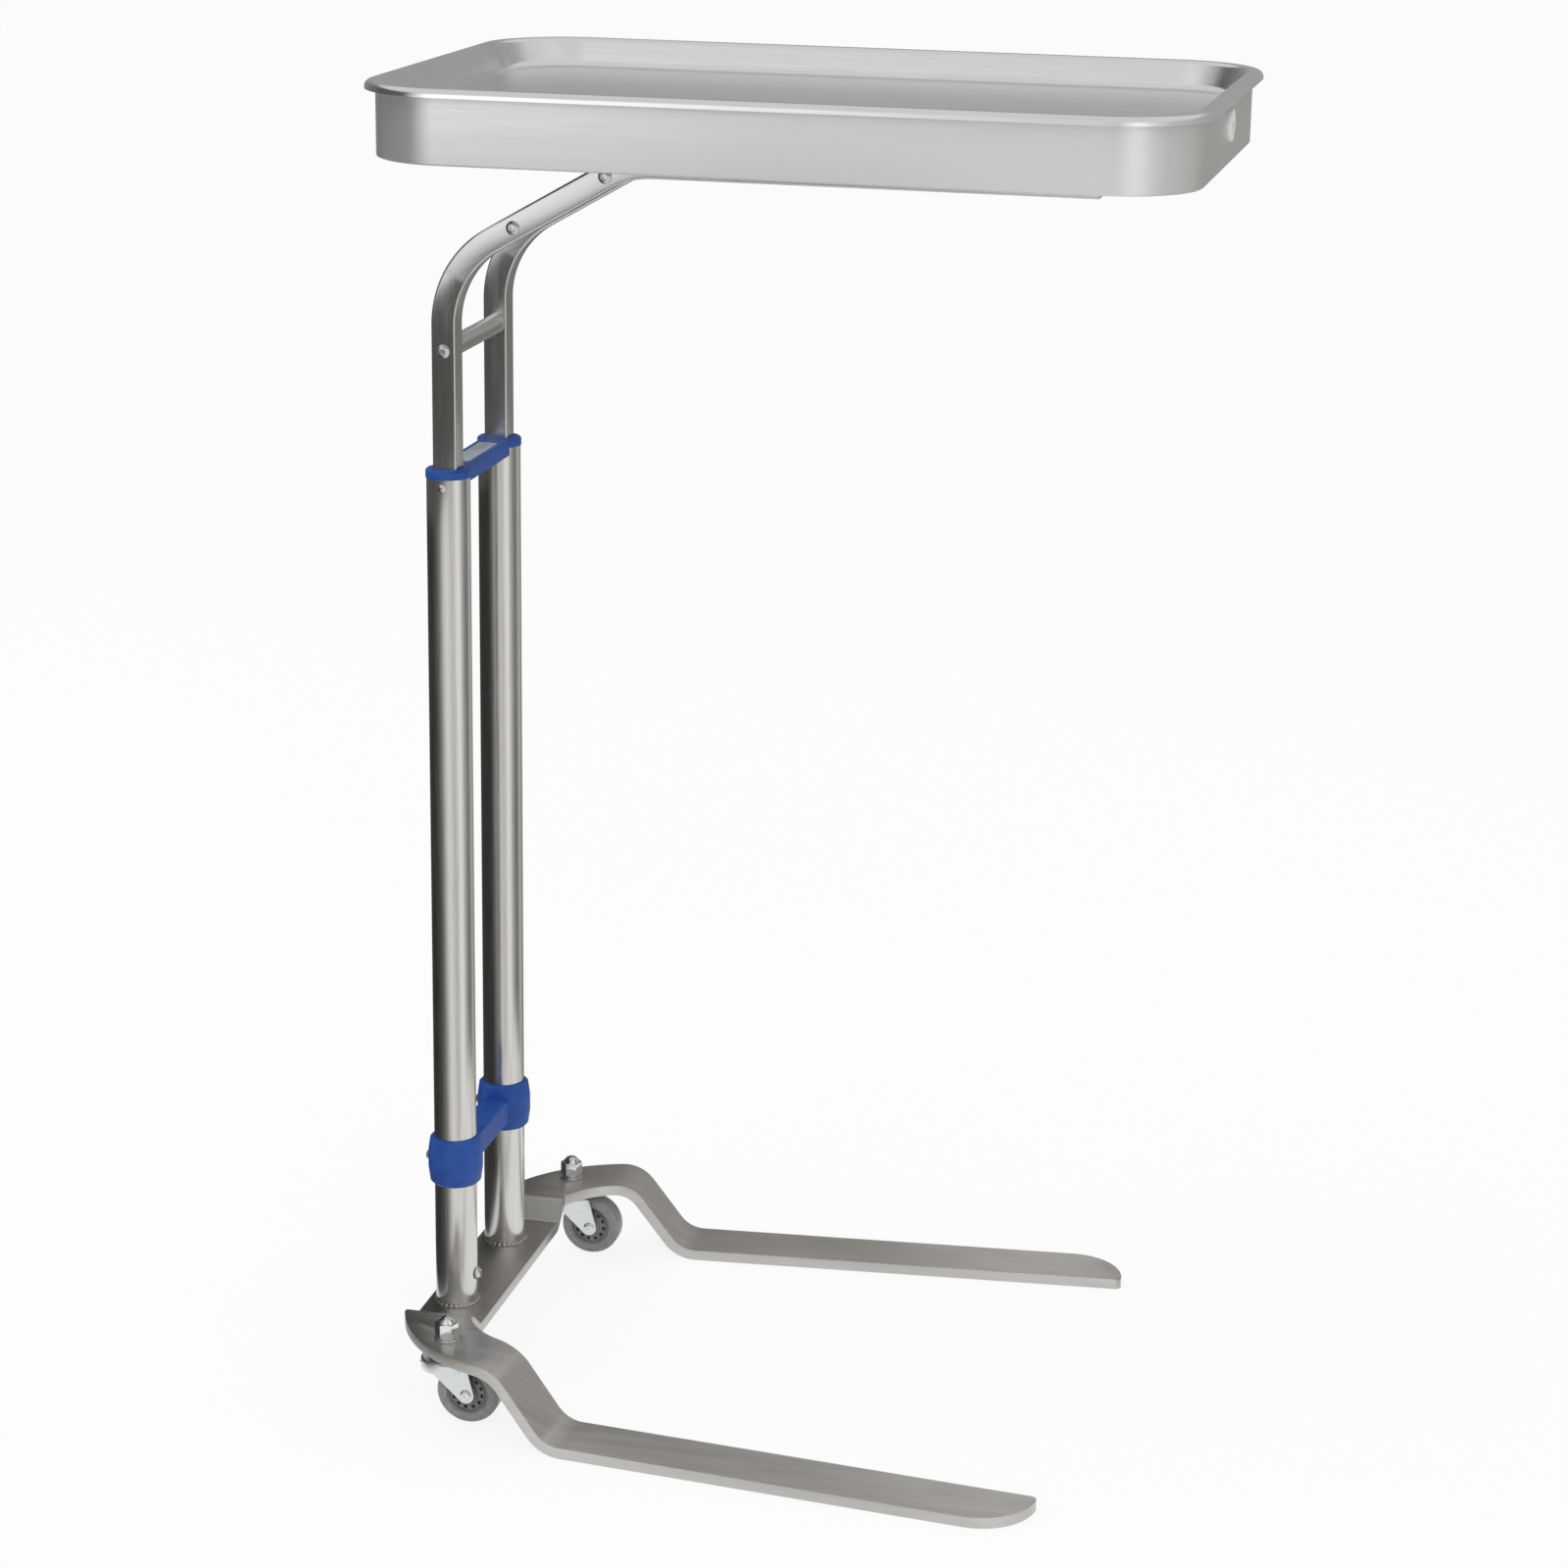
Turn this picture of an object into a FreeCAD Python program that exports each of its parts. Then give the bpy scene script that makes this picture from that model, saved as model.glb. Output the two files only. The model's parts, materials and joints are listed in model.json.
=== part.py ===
import FreeCAD, Part
import math
import os

V = FreeCAD.Vector

# Mayo instrument stand, millimetres, +Z up.
# The origin is the floor point below the middle of the tray. +X runs from the
# posts towards the free end of the tray, and +Y is the left-hand side of
# someone who stands behind the posts and looks along +X.

# Tray, a pressed sheet with a turned-down rim that hangs on the frame band
tray_length = 486.0
tray_width = 321.0
tray_corner_radius = 56.0
tray_sheet = 1.0
tray_depth = 17.0
rim_drop = 4.8
rim_roll_radius = 4.0
rim_land_width = 6.0
tray_shoulder_radius = 2.5
tray_wall_run = 6.0
tray_floor_radius = 5.0

# Frame band under the tray rim, with an inward flange along its lower edge
band_inset = 6.3
band_sheet = 1.5
band_height = 42.0
band_flange_width = 10.0
band_edge_radius = 1.0
strap_width = 30.0
strap_thickness = 3.0
rear_strap_reach = 70.0
front_strap_reach = 125.0

# White button on the free end of the band
button_diameter = 19.0
button_thickness = 2.4
button_edge_radius = 1.0
button_dish_diameter = 8.0
button_dish_depth = 1.0
button_screw_diameter = 4.5
button_screw_head_height = 0.8
button_screw_length = 8.0
button_drop = 19.0

# Bent square bars that carry the tray and slide inside the posts
bar_size = 15.0
bar_corner_radius = 1.6
bar_bend_radius = 60.0
bar_rise_angle = 30.0
bar_end_reach = 172.0
rail_rise = 191.5
rail_bend_offset = 112.2
bar_foot_height = 127.0

# Cross rods between the bars, and the button-head screws that hold them
rod_diameter = 12.0
rod_low_drop = 50.0
rod_middle_reach = 43.5
rod_upper_reach = 99.5
bar_screw_head_diameter = 8.4
bar_screw_head_height = 2.4
bar_screw_diameter = 5.0
bar_screw_bite = 10.0
bar_screw_socket = 3.0
bar_screw_socket_depth = 1.4

# Countersunk screws through the straps into the tops of the bars
rail_screw_diameter = 5.0
rail_screw_head_diameter = 9.0
rail_screw_head_height = 2.0
rail_screw_length = 13.0

# Guide shoes on the lower ends of the bars
shoe_height = 24.0
shoe_floor = 5.5
shoe_running_gap = 0.05
shoe_chamfer = 1.2
shoe_screw_diameter = 4.0
shoe_screw_head_diameter = 7.0
shoe_screw_head_height = 2.0
shoe_screw_length = 16.0

# Posts, two round tubes welded on the base
post_reach = 216.0
post_spacing = 101.8
post_diameter = 26.5
post_wall = 1.6
post_top_height = 574.8
weld_leg = 2.2

# Cap that closes both post tops and guides the bars
cap_rim_height = 5.2
cap_overhang = 0.5
cap_edge_chamfer = 1.0
cap_bridge_width = 19.0
cap_bridge_depth = 10.0
cap_spigot_depth = 14.0
cap_spigot_gap = 0.05
cap_bar_gap = 0.15
cap_recess_length = 58.0
cap_recess_width = 12.0
cap_recess_depth = 0.8
pad_width = 9.0
pad_height = 10.0
pad_thickness = 1.6
pad_running_gap = 0.05
rivet_diameter = 3.2
rivet_head_diameter = 5.0
rivet_head_height = 1.2
rivet_drop = 5.0

# Collar that ties the posts together near the base
collar_foot_height = 121.3
collar_height = 31.0
collar_end_diameter = 32.0
collar_bulge = 1.2
collar_edge_chamfer = 1.6
collar_web_width = 17.0
collar_web_height = 15.0
collar_web_drop = 8.0
collar_screw_diameter = 3.5
collar_screw_head_diameter = 6.5
collar_screw_head_height = 1.8
collar_screw_recess = 0.4

# Screw through the right post that stops the bar at the lowest setting
stop_screw_height = 59.0
stop_screw_diameter = 5.0
stop_screw_head_diameter = 8.4
stop_screw_head_height = 3.2
stop_screw_reach = 8.0

# Base, a joggled cross bar between two cranked flat legs that lie on the floor
plate_thickness = 7.0
cross_bar_width = 43.6
cross_bar_offset = 4.4
cross_bar_top = 39.8
hump_top = 51.7
joggle_start_y = 85.0
joggle_end_y = 100.0
leg_seam_y = 103.0
joggle_bend_radius = 8.0
leg_width = 39.4
leg_root_y = 146.1
leg_splay_angle = 5.4
leg_tip_reach = 178.4
leg_corner_angle = 70.0
leg_corner_radius = 100.0
leg_fillet_angle = 60.0
leg_fillet_radius = 55.0
leg_tip_radius = 35.0
leg_tip_inner_radius = 4.0
leg_crank_x = 61.8
leg_crank_angle = 53.0
leg_crank_radius = 23.0

# Swivel casters under the raised parts of the legs
caster_x = 21.0
caster_y = 136.0
caster_trail = 15.0
wheel_diameter = 40.0
wheel_width = 14.0
tyre_shoulder = 2.6
hub_diameter = 26.0
hub_width = 12.0
hub_boss_diameter = 12.0
hub_boss_width = 16.6
hub_groove_diameter = 23.0
hub_groove_width = 1.2
hub_groove_depth = 0.8
hub_hole_count = 12
hub_hole_size = 1.9
hub_hole_circle = 18.8
bush_diameter = 8.0
axle_diameter = 5.0
axle_running_gap = 0.05
axle_head_diameter = 7.2
axle_head_height = 1.7
fork_top_gap = 3.4
fork_sheet = 1.7
fork_slot_width = 17.2
fork_crown_diameter = 32.0
fork_crown_height = 7.0
fork_crown_chamfer = 1.2
fork_web_front = 8.5
fork_plate_front = 15.2
fork_plate_rear = 14.3
fork_end_radius = 5.2
race_diameter = 26.0
race_thickness = 1.6
ball_ring_diameter = 22.0
ball_ring_bore = 13.0
stem_diameter = 8.0
stem_running_gap = 0.05
stem_head_diameter = 10.0
stem_head_height = 1.5
stem_nut_engagement = 8.0
washer_diameter = 15.5
washer_thickness = 1.5
lock_washer_diameter = 12.6
lock_washer_thickness = 1.4
nut_across_flats = 12.7
nut_hex_height = 6.0
nut_dome_diameter = 10.8
nut_total_height = 12.6
nut_crown_chamfer = 1.0

# Shapes this close count as touching when edges are picked out
match_tolerance = 0.01

# Heights and places that follow from the sizes above
post_x = -post_reach
rear_strap_x = -rear_strap_reach
front_strap_x = front_strap_reach
half_bar = bar_size / 2
rail_axis_height = post_top_height + rail_rise
half_spacing = post_spacing / 2
post_radius = post_diameter / 2
post_bore_radius = post_radius - post_wall
band_bottom = rail_axis_height + half_bar
band_top = band_bottom + band_height
rim_top = band_top + tray_sheet
tray_floor_top = rim_top - tray_depth
band_length = tray_length - 2 * band_inset
band_width = tray_width - 2 * band_inset
band_corner_radius = tray_corner_radius - band_inset
bar_foot = bar_foot_height
shoe_bottom = bar_foot - shoe_floor
cap_top = post_top_height + cap_rim_height
hump_underside = hump_top - plate_thickness
fork_top = hump_underside - fork_top_gap
wheel_radius = wheel_diameter / 2
fork_half_slot = fork_slot_width / 2
fork_half_width = fork_half_slot + fork_sheet
rise = math.radians(bar_rise_angle)
cross_bar_rear = post_x + cross_bar_offset - cross_bar_width / 2
cross_bar_front = cross_bar_rear + cross_bar_width
SIDES = {"left": 1.0, "right": -1.0}


def cylinder(radius, height, base, axis=V(0, 0, 1)):
    """Solid cylinder from its base point along its axis."""
    return Part.makeCylinder(radius, height, base, axis)


def box(x0, y0, z0, x1, y1, z1):
    """Solid box between two corners."""
    return Part.makeBox(x1 - x0, y1 - y0, z1 - z0, V(x0, y0, z0))


def round_rectangle(centre_x, centre_y, z, length, width, radius):
    """Closed wire of a rectangle with round corners, in a level plane."""
    hx = length / 2
    hy = width / 2
    diagonal = radius * (1 - math.sqrt(0.5))
    edges = []
    corners = [(1, -1), (1, 1), (-1, 1), (-1, -1)]
    for index, (sx, sy) in enumerate(corners):
        along_y = V(sx * hx, sy * (hy - radius), 0)
        along_x = V(sx * (hx - radius), sy * hy, 0)
        middle = V(sx * (hx - diagonal), sy * (hy - diagonal), 0)
        first, last = (along_x, along_y) if index % 2 == 0 else (along_y, along_x)
        next_sx, next_sy = corners[(index + 1) % 4]
        if index % 2 == 0:
            next_point = V(next_sx * hx, next_sy * (hy - radius), 0)
        else:
            next_point = V(next_sx * (hx - radius), next_sy * hy, 0)
        edges.append(Part.Arc(first, middle, last).toShape())
        edges.append(Part.LineSegment(last, next_point).toShape())
    wire = Part.Wire(edges)
    wire.translate(V(centre_x, centre_y, z))
    return wire


def prism(wire, height):
    """Solid from a level closed wire, upwards by a height."""
    return Part.Face(wire).extrude(V(0, 0, height))


def turned(points, base, axis=V(0, 0, 1), across=V(1, 0, 0)):
    """Solid of revolution from (radius, height) points about an axis."""
    corners = [base + across * r + axis * h for r, h in points]
    face = Part.Face(Part.makePolygon(corners + [corners[0]]))
    return face.revolve(base, axis, 360)


def bend_edges(points, radii):
    """Edges of straight runs joined by tangent arcs, one radius for each inner point."""
    edges = []
    start = points[0]
    for before, corner, after, radius in zip(points, points[1:], points[2:], radii):
        inward = (before - corner).normalize()
        outward = (after - corner).normalize()
        half_turn = (math.pi - inward.getAngle(outward)) / 2
        setback = radius * math.tan(half_turn)
        first = corner + inward * setback
        last = corner + outward * setback
        bisector = (inward + outward).normalize()
        middle = corner + bisector * (radius / math.cos(half_turn) - radius)
        edges.append(Part.LineSegment(start, first).toShape())
        edges.append(Part.Arc(first, middle, last).toShape())
        start = last
    edges.append(Part.LineSegment(start, points[-1]).toShape())
    return edges


def bent_section(points, radii, thickness, normal):
    """Face of one thickness round a bent centre line, in the plane with this normal."""
    steps = [(b - a).normalize() for a, b in zip(points, points[1:])]
    sides = [normal.cross(step) for step in steps]
    edges = []
    ends = []
    for offset in (thickness / 2, -thickness / 2):
        line = [points[0] + sides[0] * offset]
        bends = []
        for index, radius in enumerate(radii):
            before, after = sides[index], sides[index + 1]
            line.append(points[index + 1] + (before + after) * (offset / (1 + before.dot(after))))
            turn = 1 if steps[index].cross(steps[index + 1]).dot(normal) > 0 else -1
            bends.append(radius - turn * offset)
        line.append(points[-1] + sides[-1] * offset)
        edges += bend_edges(line, bends)
        ends.append((line[0], line[-1]))
    for first, last in zip(ends[0], ends[1]):
        edges.append(Part.LineSegment(first, last).toShape())
    return Part.Face(Part.Wire(Part.sortEdges(edges)[0]))


def bent_plate(points, radius, thickness, sweep):
    """Plate of one thickness round a bent centre line, drawn across by a vector."""
    radii = [radius for corner in points[1:-1]]
    return bent_section(points, radii, thickness, V(sweep).normalize()).extrude(sweep)


def fuse(shapes):
    """One shape from many, with its seam lines removed."""
    body = shapes[0]
    for shape in shapes[1:]:
        body = body.fuse(shape)
    return body.removeSplitter()


def cut(shape, tools):
    """A shape with tools taken away."""
    for tool in tools:
        shape = shape.cut(tool)
    return shape


def hexagon(across_flats, height, base):
    """Upright hexagonal prism on a base point."""
    corner_radius = across_flats / 2 / math.cos(math.radians(30))
    corners = []
    for index in range(7):
        angle = math.radians(60 * index)
        corners.append(base + V(corner_radius * math.cos(angle), corner_radius * math.sin(angle), 0))
    return Part.Face(Part.makePolygon(corners)).extrude(V(0, 0, height))


def button_head(diameter, height, socket, socket_depth, base, axis):
    """Low domed screw head on a base point, with a hexagon socket in its top."""
    radius = diameter / 2
    outline = [(0, 0), (radius, 0), (radius, height / 4), (3 * radius / 4, 4 * height / 5),
               (radius / 2, height), (0, height)]
    head = turned(outline, V(0, 0, 0))
    if socket > 0:
        head = head.cut(hexagon(socket, socket_depth, V(0, 0, height - socket_depth)))
    head.Placement = FreeCAD.Placement(base, FreeCAD.Rotation(V(0, 0, 1), axis))
    return head


def screw(diameter, length, head_diameter, head_height, base, axis, socket=0.0, socket_depth=0.0):
    """Screw with its head standing on a base point and its shank driven the other way."""
    head = button_head(head_diameter, head_height, socket, socket_depth, base, axis)
    shank = cylinder(diameter / 2, length, base, axis * -1)
    return head.fuse(shank).removeSplitter()


def post_axis_y(side):
    """Distance of a post, and of the bar in it, from the middle plane."""
    return SIDES[side] * half_spacing


def bar_path():
    """Centre line of a bar in the plane y = 0, from its foot to its free end."""
    knee = V(post_x, 0, rail_axis_height - rail_bend_offset * math.tan(rise))
    crown = V(post_x + rail_bend_offset, 0, rail_axis_height)
    return [V(post_x, 0, bar_foot), knee, crown, V(bar_end_reach, 0, rail_axis_height)]


def rod_places():
    """Reach and height of each cross rod on the centre line of the bars."""
    slope = math.tan(rise)
    knee_height = bar_path()[1].z
    low = (post_x, knee_height - rod_low_drop)
    middle = (post_x + rod_middle_reach, knee_height + rod_middle_reach * slope)
    upper = (post_x + rod_upper_reach, knee_height + rod_upper_reach * slope)
    return {"low": low, "middle": middle, "upper": upper}


def make_bar(side):
    """Square bar with round edges, bent twice in its own upright plane."""
    bar = bent_plate(bar_path(), bar_bend_radius, bar_size, V(0, bar_size, 0))
    long_edges = []
    for edge in bar.Edges:
        flat = edge.BoundBox.YLength < match_tolerance
        across_end = edge.BoundBox.DiagonalLength < bar_size + match_tolerance
        if flat and not across_end:
            long_edges.append(edge)
    bar = bar.makeFillet(bar_corner_radius, long_edges)
    bar.translate(V(0, post_axis_y(side) - half_bar, 0))
    outward = V(0, SIDES[side], 0)
    holes = []
    for x, z in rod_places().values():
        start = V(x, post_axis_y(side), z) - outward * half_bar
        holes.append(cylinder(bar_screw_diameter / 2, bar_size, start, outward))
    holes.append(cylinder(shoe_screw_diameter / 2, shoe_screw_length, V(post_x, post_axis_y(side), bar_foot)))
    return cut(bar, holes + [make_rail_screws()])


def make_cross_rod(name):
    """Round rod between the inner faces of the bars, tapped at both ends."""
    x, z = rod_places()[name]
    length = post_spacing - bar_size
    rod = cylinder(rod_diameter / 2, length, V(x, -length / 2, z), V(0, 1, 0))
    taps = []
    for sign in (1, -1):
        end = V(x, sign * length / 2, z)
        taps.append(cylinder(bar_screw_diameter / 2, bar_screw_bite, end, V(0, -sign, 0)))
    return cut(rod, taps)


def make_bar_screws(side):
    """Button-head screws through one bar into the ends of the three rods."""
    outward = V(0, SIDES[side], 0)
    screws = []
    for x, z in rod_places().values():
        seat = V(x, post_axis_y(side) + SIDES[side] * half_bar, z)
        screws.append(screw(bar_screw_diameter, bar_size + bar_screw_bite, bar_screw_head_diameter,
                            bar_screw_head_height, seat, outward, bar_screw_socket, bar_screw_socket_depth))
    return Part.makeCompound(screws)


def make_rail_screws():
    """Countersunk screws, flush in the straps of the tray frame and tapped into the bars."""
    radius = rail_screw_diameter / 2
    head_radius = rail_screw_head_diameter / 2
    outline = [(0, 0), (head_radius, 0), (radius, -rail_screw_head_height), (radius, -rail_screw_length),
               (0, -rail_screw_length)]
    screws = []
    for side in SIDES:
        for x in (rear_strap_x, front_strap_x):
            screws.append(turned(outline, V(x, post_axis_y(side), band_bottom + strap_thickness)))
    return Part.makeCompound(screws)


def make_guide_shoe(side):
    """Round slider with a square pocket for the foot of the bar."""
    radius = post_bore_radius - shoe_running_gap
    top = shoe_height
    outline = [(0, 0), (radius - shoe_chamfer, 0), (radius, shoe_chamfer), (radius, top - shoe_chamfer),
               (radius - shoe_chamfer, top), (0, top)]
    shoe = turned(outline, V(post_x, post_axis_y(side), shoe_bottom))
    pocket = prism(round_rectangle(post_x, post_axis_y(side), bar_foot, bar_size, bar_size,
                                   bar_corner_radius), shoe_height)
    seat = V(post_x, post_axis_y(side), shoe_bottom)
    head_recess = cylinder(shoe_screw_head_diameter / 2, shoe_screw_head_height, seat)
    hole = cylinder(shoe_screw_diameter / 2, shoe_floor, seat)
    return cut(shoe, [pocket, head_recess, hole])


def make_shoe_screws():
    """Screws that hold the guide shoes on the feet of the bars."""
    screws = []
    for side in SIDES:
        seat = V(post_x, post_axis_y(side), shoe_bottom + shoe_screw_head_height)
        length = shoe_floor - shoe_screw_head_height + shoe_screw_length
        head = cylinder(shoe_screw_head_diameter / 2, shoe_screw_head_height, seat, V(0, 0, -1))
        shank = cylinder(shoe_screw_diameter / 2, length, seat)
        screws.append(fuse([head, shank]))
    return Part.makeCompound(screws)


def make_frame_band():
    """Band with an inward flange that the tray hangs on, open above and below."""
    outline = round_rectangle(0, 0, band_bottom, band_length, band_width, band_corner_radius)
    outer = prism(outline, band_height)
    lower_edges = [edge for edge in outer.Edges if abs(edge.BoundBox.ZMax - band_bottom) < match_tolerance]
    outer = outer.makeFillet(band_edge_radius, lower_edges)
    inset = 2 * band_sheet
    inner = prism(round_rectangle(0, 0, band_bottom + band_sheet, band_length - inset, band_width - inset,
                                  band_corner_radius - band_sheet), band_height)
    opening_inset = inset + 2 * band_flange_width
    opening = prism(round_rectangle(0, 0, band_bottom, band_length - opening_inset,
                                    band_width - opening_inset,
                                    band_corner_radius - opening_inset / 2), band_height)
    screw_hole = cylinder(button_screw_diameter / 2, button_screw_length,
                          V(band_length / 2, 0, band_top - button_drop), V(-1, 0, 0))
    return cut(outer, [inner, opening, screw_hole])


def make_strap(x):
    """Flat strap welded between the flanges of the band, on top of the bars."""
    half_length = band_width / 2 - band_sheet - band_flange_width
    strap = box(x - strap_width / 2, -half_length, band_bottom,
                x + strap_width / 2, half_length, band_bottom + strap_thickness)
    return strap.cut(make_rail_screws())


def make_tray_button():
    """Round white button with a dished middle on the free end of the band."""
    radius = button_diameter / 2
    outline = [(0, 0), (radius, 0), (radius, button_thickness - button_edge_radius),
               (radius - button_edge_radius, button_thickness),
               (button_dish_diameter / 2, button_thickness),
               (button_dish_diameter / 2 - button_dish_depth, button_thickness - button_dish_depth),
               (0, button_thickness - button_dish_depth)]
    seat = V(band_length / 2, 0, band_top - button_drop)
    button = turned(outline, seat, V(1, 0, 0), V(0, 1, 0))
    hole = cylinder(button_screw_diameter / 2, button_thickness, seat, V(1, 0, 0))
    return button.cut(hole)


def make_button_screw():
    """Countersunk screw in the middle of the button."""
    seat = V(band_length / 2 + button_thickness - button_dish_depth, 0, band_top - button_drop)
    head_radius = button_dish_diameter / 2 - button_dish_depth
    return screw(button_screw_diameter, button_screw_length + button_thickness - button_dish_depth,
                 2 * head_radius, button_screw_head_height, seat, V(1, 0, 0))


def swept_round(section, length, width, radius):
    """A face in the plane x = 0 at the right edge, carried round a rectangle with round corners."""
    half_x = length / 2 - radius
    half_y = width / 2 - radius
    pieces = []
    for turns, reach, other in ((0, half_x, half_y), (1, half_y, half_x), (2, half_x, half_y),
                                (3, half_y, half_x)):
        face = section.copy()
        face.translate(V(reach, width / 2 - radius - other, 0))
        run = face.extrude(V(-2 * reach, 0, 0))
        bend = face.revolve(V(reach, -other, 0), V(0, 0, 1), 90)
        for piece in (run, bend):
            piece.rotate(V(0, 0, 0), V(0, 0, 1), 90 * turns)
            pieces.append(piece)
    return pieces


def tray_section():
    """Closed section of the rim and wall of the tray, in the plane x = 0 at its right edge."""
    edge = -tray_width / 2
    half = tray_sheet / 2
    land_end = edge + rim_roll_radius + rim_land_width
    floor_axis = tray_floor_top - half
    points = [V(0, edge + half, rim_top - rim_drop),
              V(0, edge + half, rim_top - half),
              V(0, land_end, rim_top - half),
              V(0, land_end + tray_wall_run, floor_axis),
              V(0, land_end + tray_wall_run + 2 * tray_floor_radius, floor_axis)]
    return points


def make_tray():
    """Pressed tray: turned-down rim, sloping wall and flat floor in one sheet."""
    points = tray_section()
    radii = [rim_roll_radius - tray_sheet / 2, tray_shoulder_radius, tray_floor_radius]
    section = bent_section(points, radii, tray_sheet, V(1, 0, 0))
    pieces = swept_round(section, tray_length, tray_width, tray_corner_radius)
    inset = points[-1].y + tray_width / 2
    floor = prism(round_rectangle(0, 0, tray_floor_top - tray_sheet, tray_length - 2 * inset,
                                  tray_width - 2 * inset, tray_corner_radius - inset), tray_sheet)
    return fuse(pieces + [floor])


def make_post(side):
    """Round tube welded on the cross bar."""
    foot = V(post_x, post_axis_y(side), cross_bar_top)
    height = post_top_height - cross_bar_top
    tube = cylinder(post_radius, height, foot).cut(cylinder(post_bore_radius, height, foot))
    outward = V(0, SIDES[side], 0)
    holes = [cylinder(rivet_diameter / 2, post_radius,
                      V(post_x, post_axis_y(side), post_top_height - rivet_drop), outward)]
    holes.append(cylinder(collar_screw_diameter / 2, post_radius,
                          V(post_x, post_axis_y(side), collar_foot_height + collar_height / 2), V(-1, 0, 0)))
    if side == "right":
        holes.append(cylinder(stop_screw_diameter / 2, post_radius,
                              V(post_x, post_axis_y(side), stop_screw_height), V(1, 0, 0)))
    return cut(tube, holes)


def make_weld_beads():
    """Fillet welds round the feet of the posts."""
    beads = []
    for side in SIDES:
        foot = V(post_x, post_axis_y(side), cross_bar_top)
        ring = turned([(post_radius, 0), (post_radius + weld_leg, 0), (post_radius, weld_leg)], foot)
        beads.append(ring)
    return Part.makeCompound(beads)


def make_cap():
    """Double cap over the post tops, bridged, with a square guide for each bar."""
    rim_radius = post_radius + cap_overhang
    rims = []
    tools = []
    for side in SIDES:
        y = post_axis_y(side)
        rims.append(cylinder(rim_radius, cap_rim_height, V(post_x, y, post_top_height)))
        rims.append(cylinder(post_bore_radius - cap_spigot_gap, cap_spigot_depth,
                             V(post_x, y, post_top_height - cap_spigot_depth)))
        guide = bar_size + 2 * cap_bar_gap
        tools.append(prism(round_rectangle(post_x, y, post_top_height - cap_spigot_depth, guide, guide,
                                           bar_corner_radius), cap_spigot_depth + cap_rim_height))
        pocket_x = post_x - half_bar - pad_running_gap - pad_thickness
        tools.append(box(pocket_x, y - pad_width / 2, post_top_height - pad_height,
                         post_x, y + pad_width / 2, post_top_height))
        tools.append(cylinder(rivet_diameter / 2, post_bore_radius,
                              V(post_x, y, post_top_height - rivet_drop), V(0, SIDES[side], 0)))
    clear = post_radius + cap_spigot_gap
    half_bridge = cap_bridge_width / 2
    bridge = box(post_x - half_bridge, -half_spacing, cap_top - cap_bridge_depth,
                 post_x + half_bridge, half_spacing, cap_top)
    for side in SIDES:
        post_clearance = cylinder(clear, cap_bridge_depth, V(post_x, post_axis_y(side), 0))
        post_clearance.translate(V(0, 0, post_top_height - cap_bridge_depth))
        bridge = bridge.cut(post_clearance)
    body = fuse(rims + [bridge])
    top_edges = [edge for edge in body.Edges if edge.BoundBox.ZMin > cap_top - match_tolerance]
    body = body.makeChamfer(cap_edge_chamfer, top_edges)
    half_length = cap_recess_length / 2
    half_width = cap_recess_width / 2
    tools.append(box(post_x - half_width, -half_length, cap_top - cap_recess_depth,
                     post_x + half_width, half_length, cap_top))
    return cut(body, tools)


def make_cap_inlay():
    """Bare pale plate in the recess on the bridge of the cap."""
    half_length = cap_recess_length / 2
    half_width = cap_recess_width / 2
    return box(post_x - half_width, -half_length, cap_top - cap_recess_depth,
               post_x + half_width, half_length, cap_top)


def make_friction_pads():
    """Pads in the cap that press on the rear face of each bar."""
    pads = []
    for side in SIDES:
        y = post_axis_y(side)
        rear = post_x - half_bar - pad_running_gap
        pads.append(box(rear - pad_thickness, y - pad_width / 2, post_top_height - pad_height,
                        rear, y + pad_width / 2, post_top_height))
    return Part.makeCompound(pads)


def make_cap_rivets():
    """Rivets that hold the cap in the post tops."""
    rivets = []
    for side in SIDES:
        seat = V(post_x, post_axis_y(side) + SIDES[side] * post_radius, post_top_height - rivet_drop)
        reach = post_radius - half_bar - cap_bar_gap
        rivets.append(screw(rivet_diameter, reach, rivet_head_diameter, rivet_head_height, seat,
                            V(0, SIDES[side], 0)))
    return Part.makeCompound(rivets)


def make_collar():
    """Double collar round both posts, slightly barrelled, with a web between."""
    foot = collar_foot_height
    end_radius = collar_end_diameter / 2
    belly_radius = end_radius + collar_bulge
    chamfer = collar_edge_chamfer
    outline = [(post_radius, 0), (end_radius - chamfer, 0), (end_radius, chamfer),
               (belly_radius, collar_height / 3), (belly_radius, 2 * collar_height / 3),
               (end_radius, collar_height - chamfer), (end_radius - chamfer, collar_height),
               (post_radius, collar_height)]
    sleeves = []
    bores = []
    for side in SIDES:
        y = post_axis_y(side)
        sleeves.append(turned(outline, V(post_x, y, foot)))
        bores.append(cylinder(post_radius, collar_height, V(post_x, y, foot)))
        bores.append(cylinder(collar_screw_diameter / 2, collar_end_diameter,
                              V(post_x, y, foot + collar_height / 2), V(-1, 0, 0)))
    web_top = foot + collar_height - collar_web_drop
    half_web = collar_web_width / 2
    web = box(post_x - half_web, -half_spacing, web_top - collar_web_height,
              post_x + half_web, half_spacing, web_top)
    return cut(fuse(sleeves + [web]), bores)


def make_collar_screws():
    """Screws through the rear of the collar into the posts."""
    screws = []
    for side in SIDES:
        seat_radius = collar_end_diameter / 2 + collar_bulge
        seat = V(post_x - seat_radius, post_axis_y(side), collar_foot_height + collar_height / 2)
        length = seat_radius - post_bore_radius - collar_screw_recess
        screws.append(screw(collar_screw_diameter, length, collar_screw_head_diameter,
                            collar_screw_head_height, seat, V(-1, 0, 0)))
    return Part.makeCompound(screws)


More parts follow.
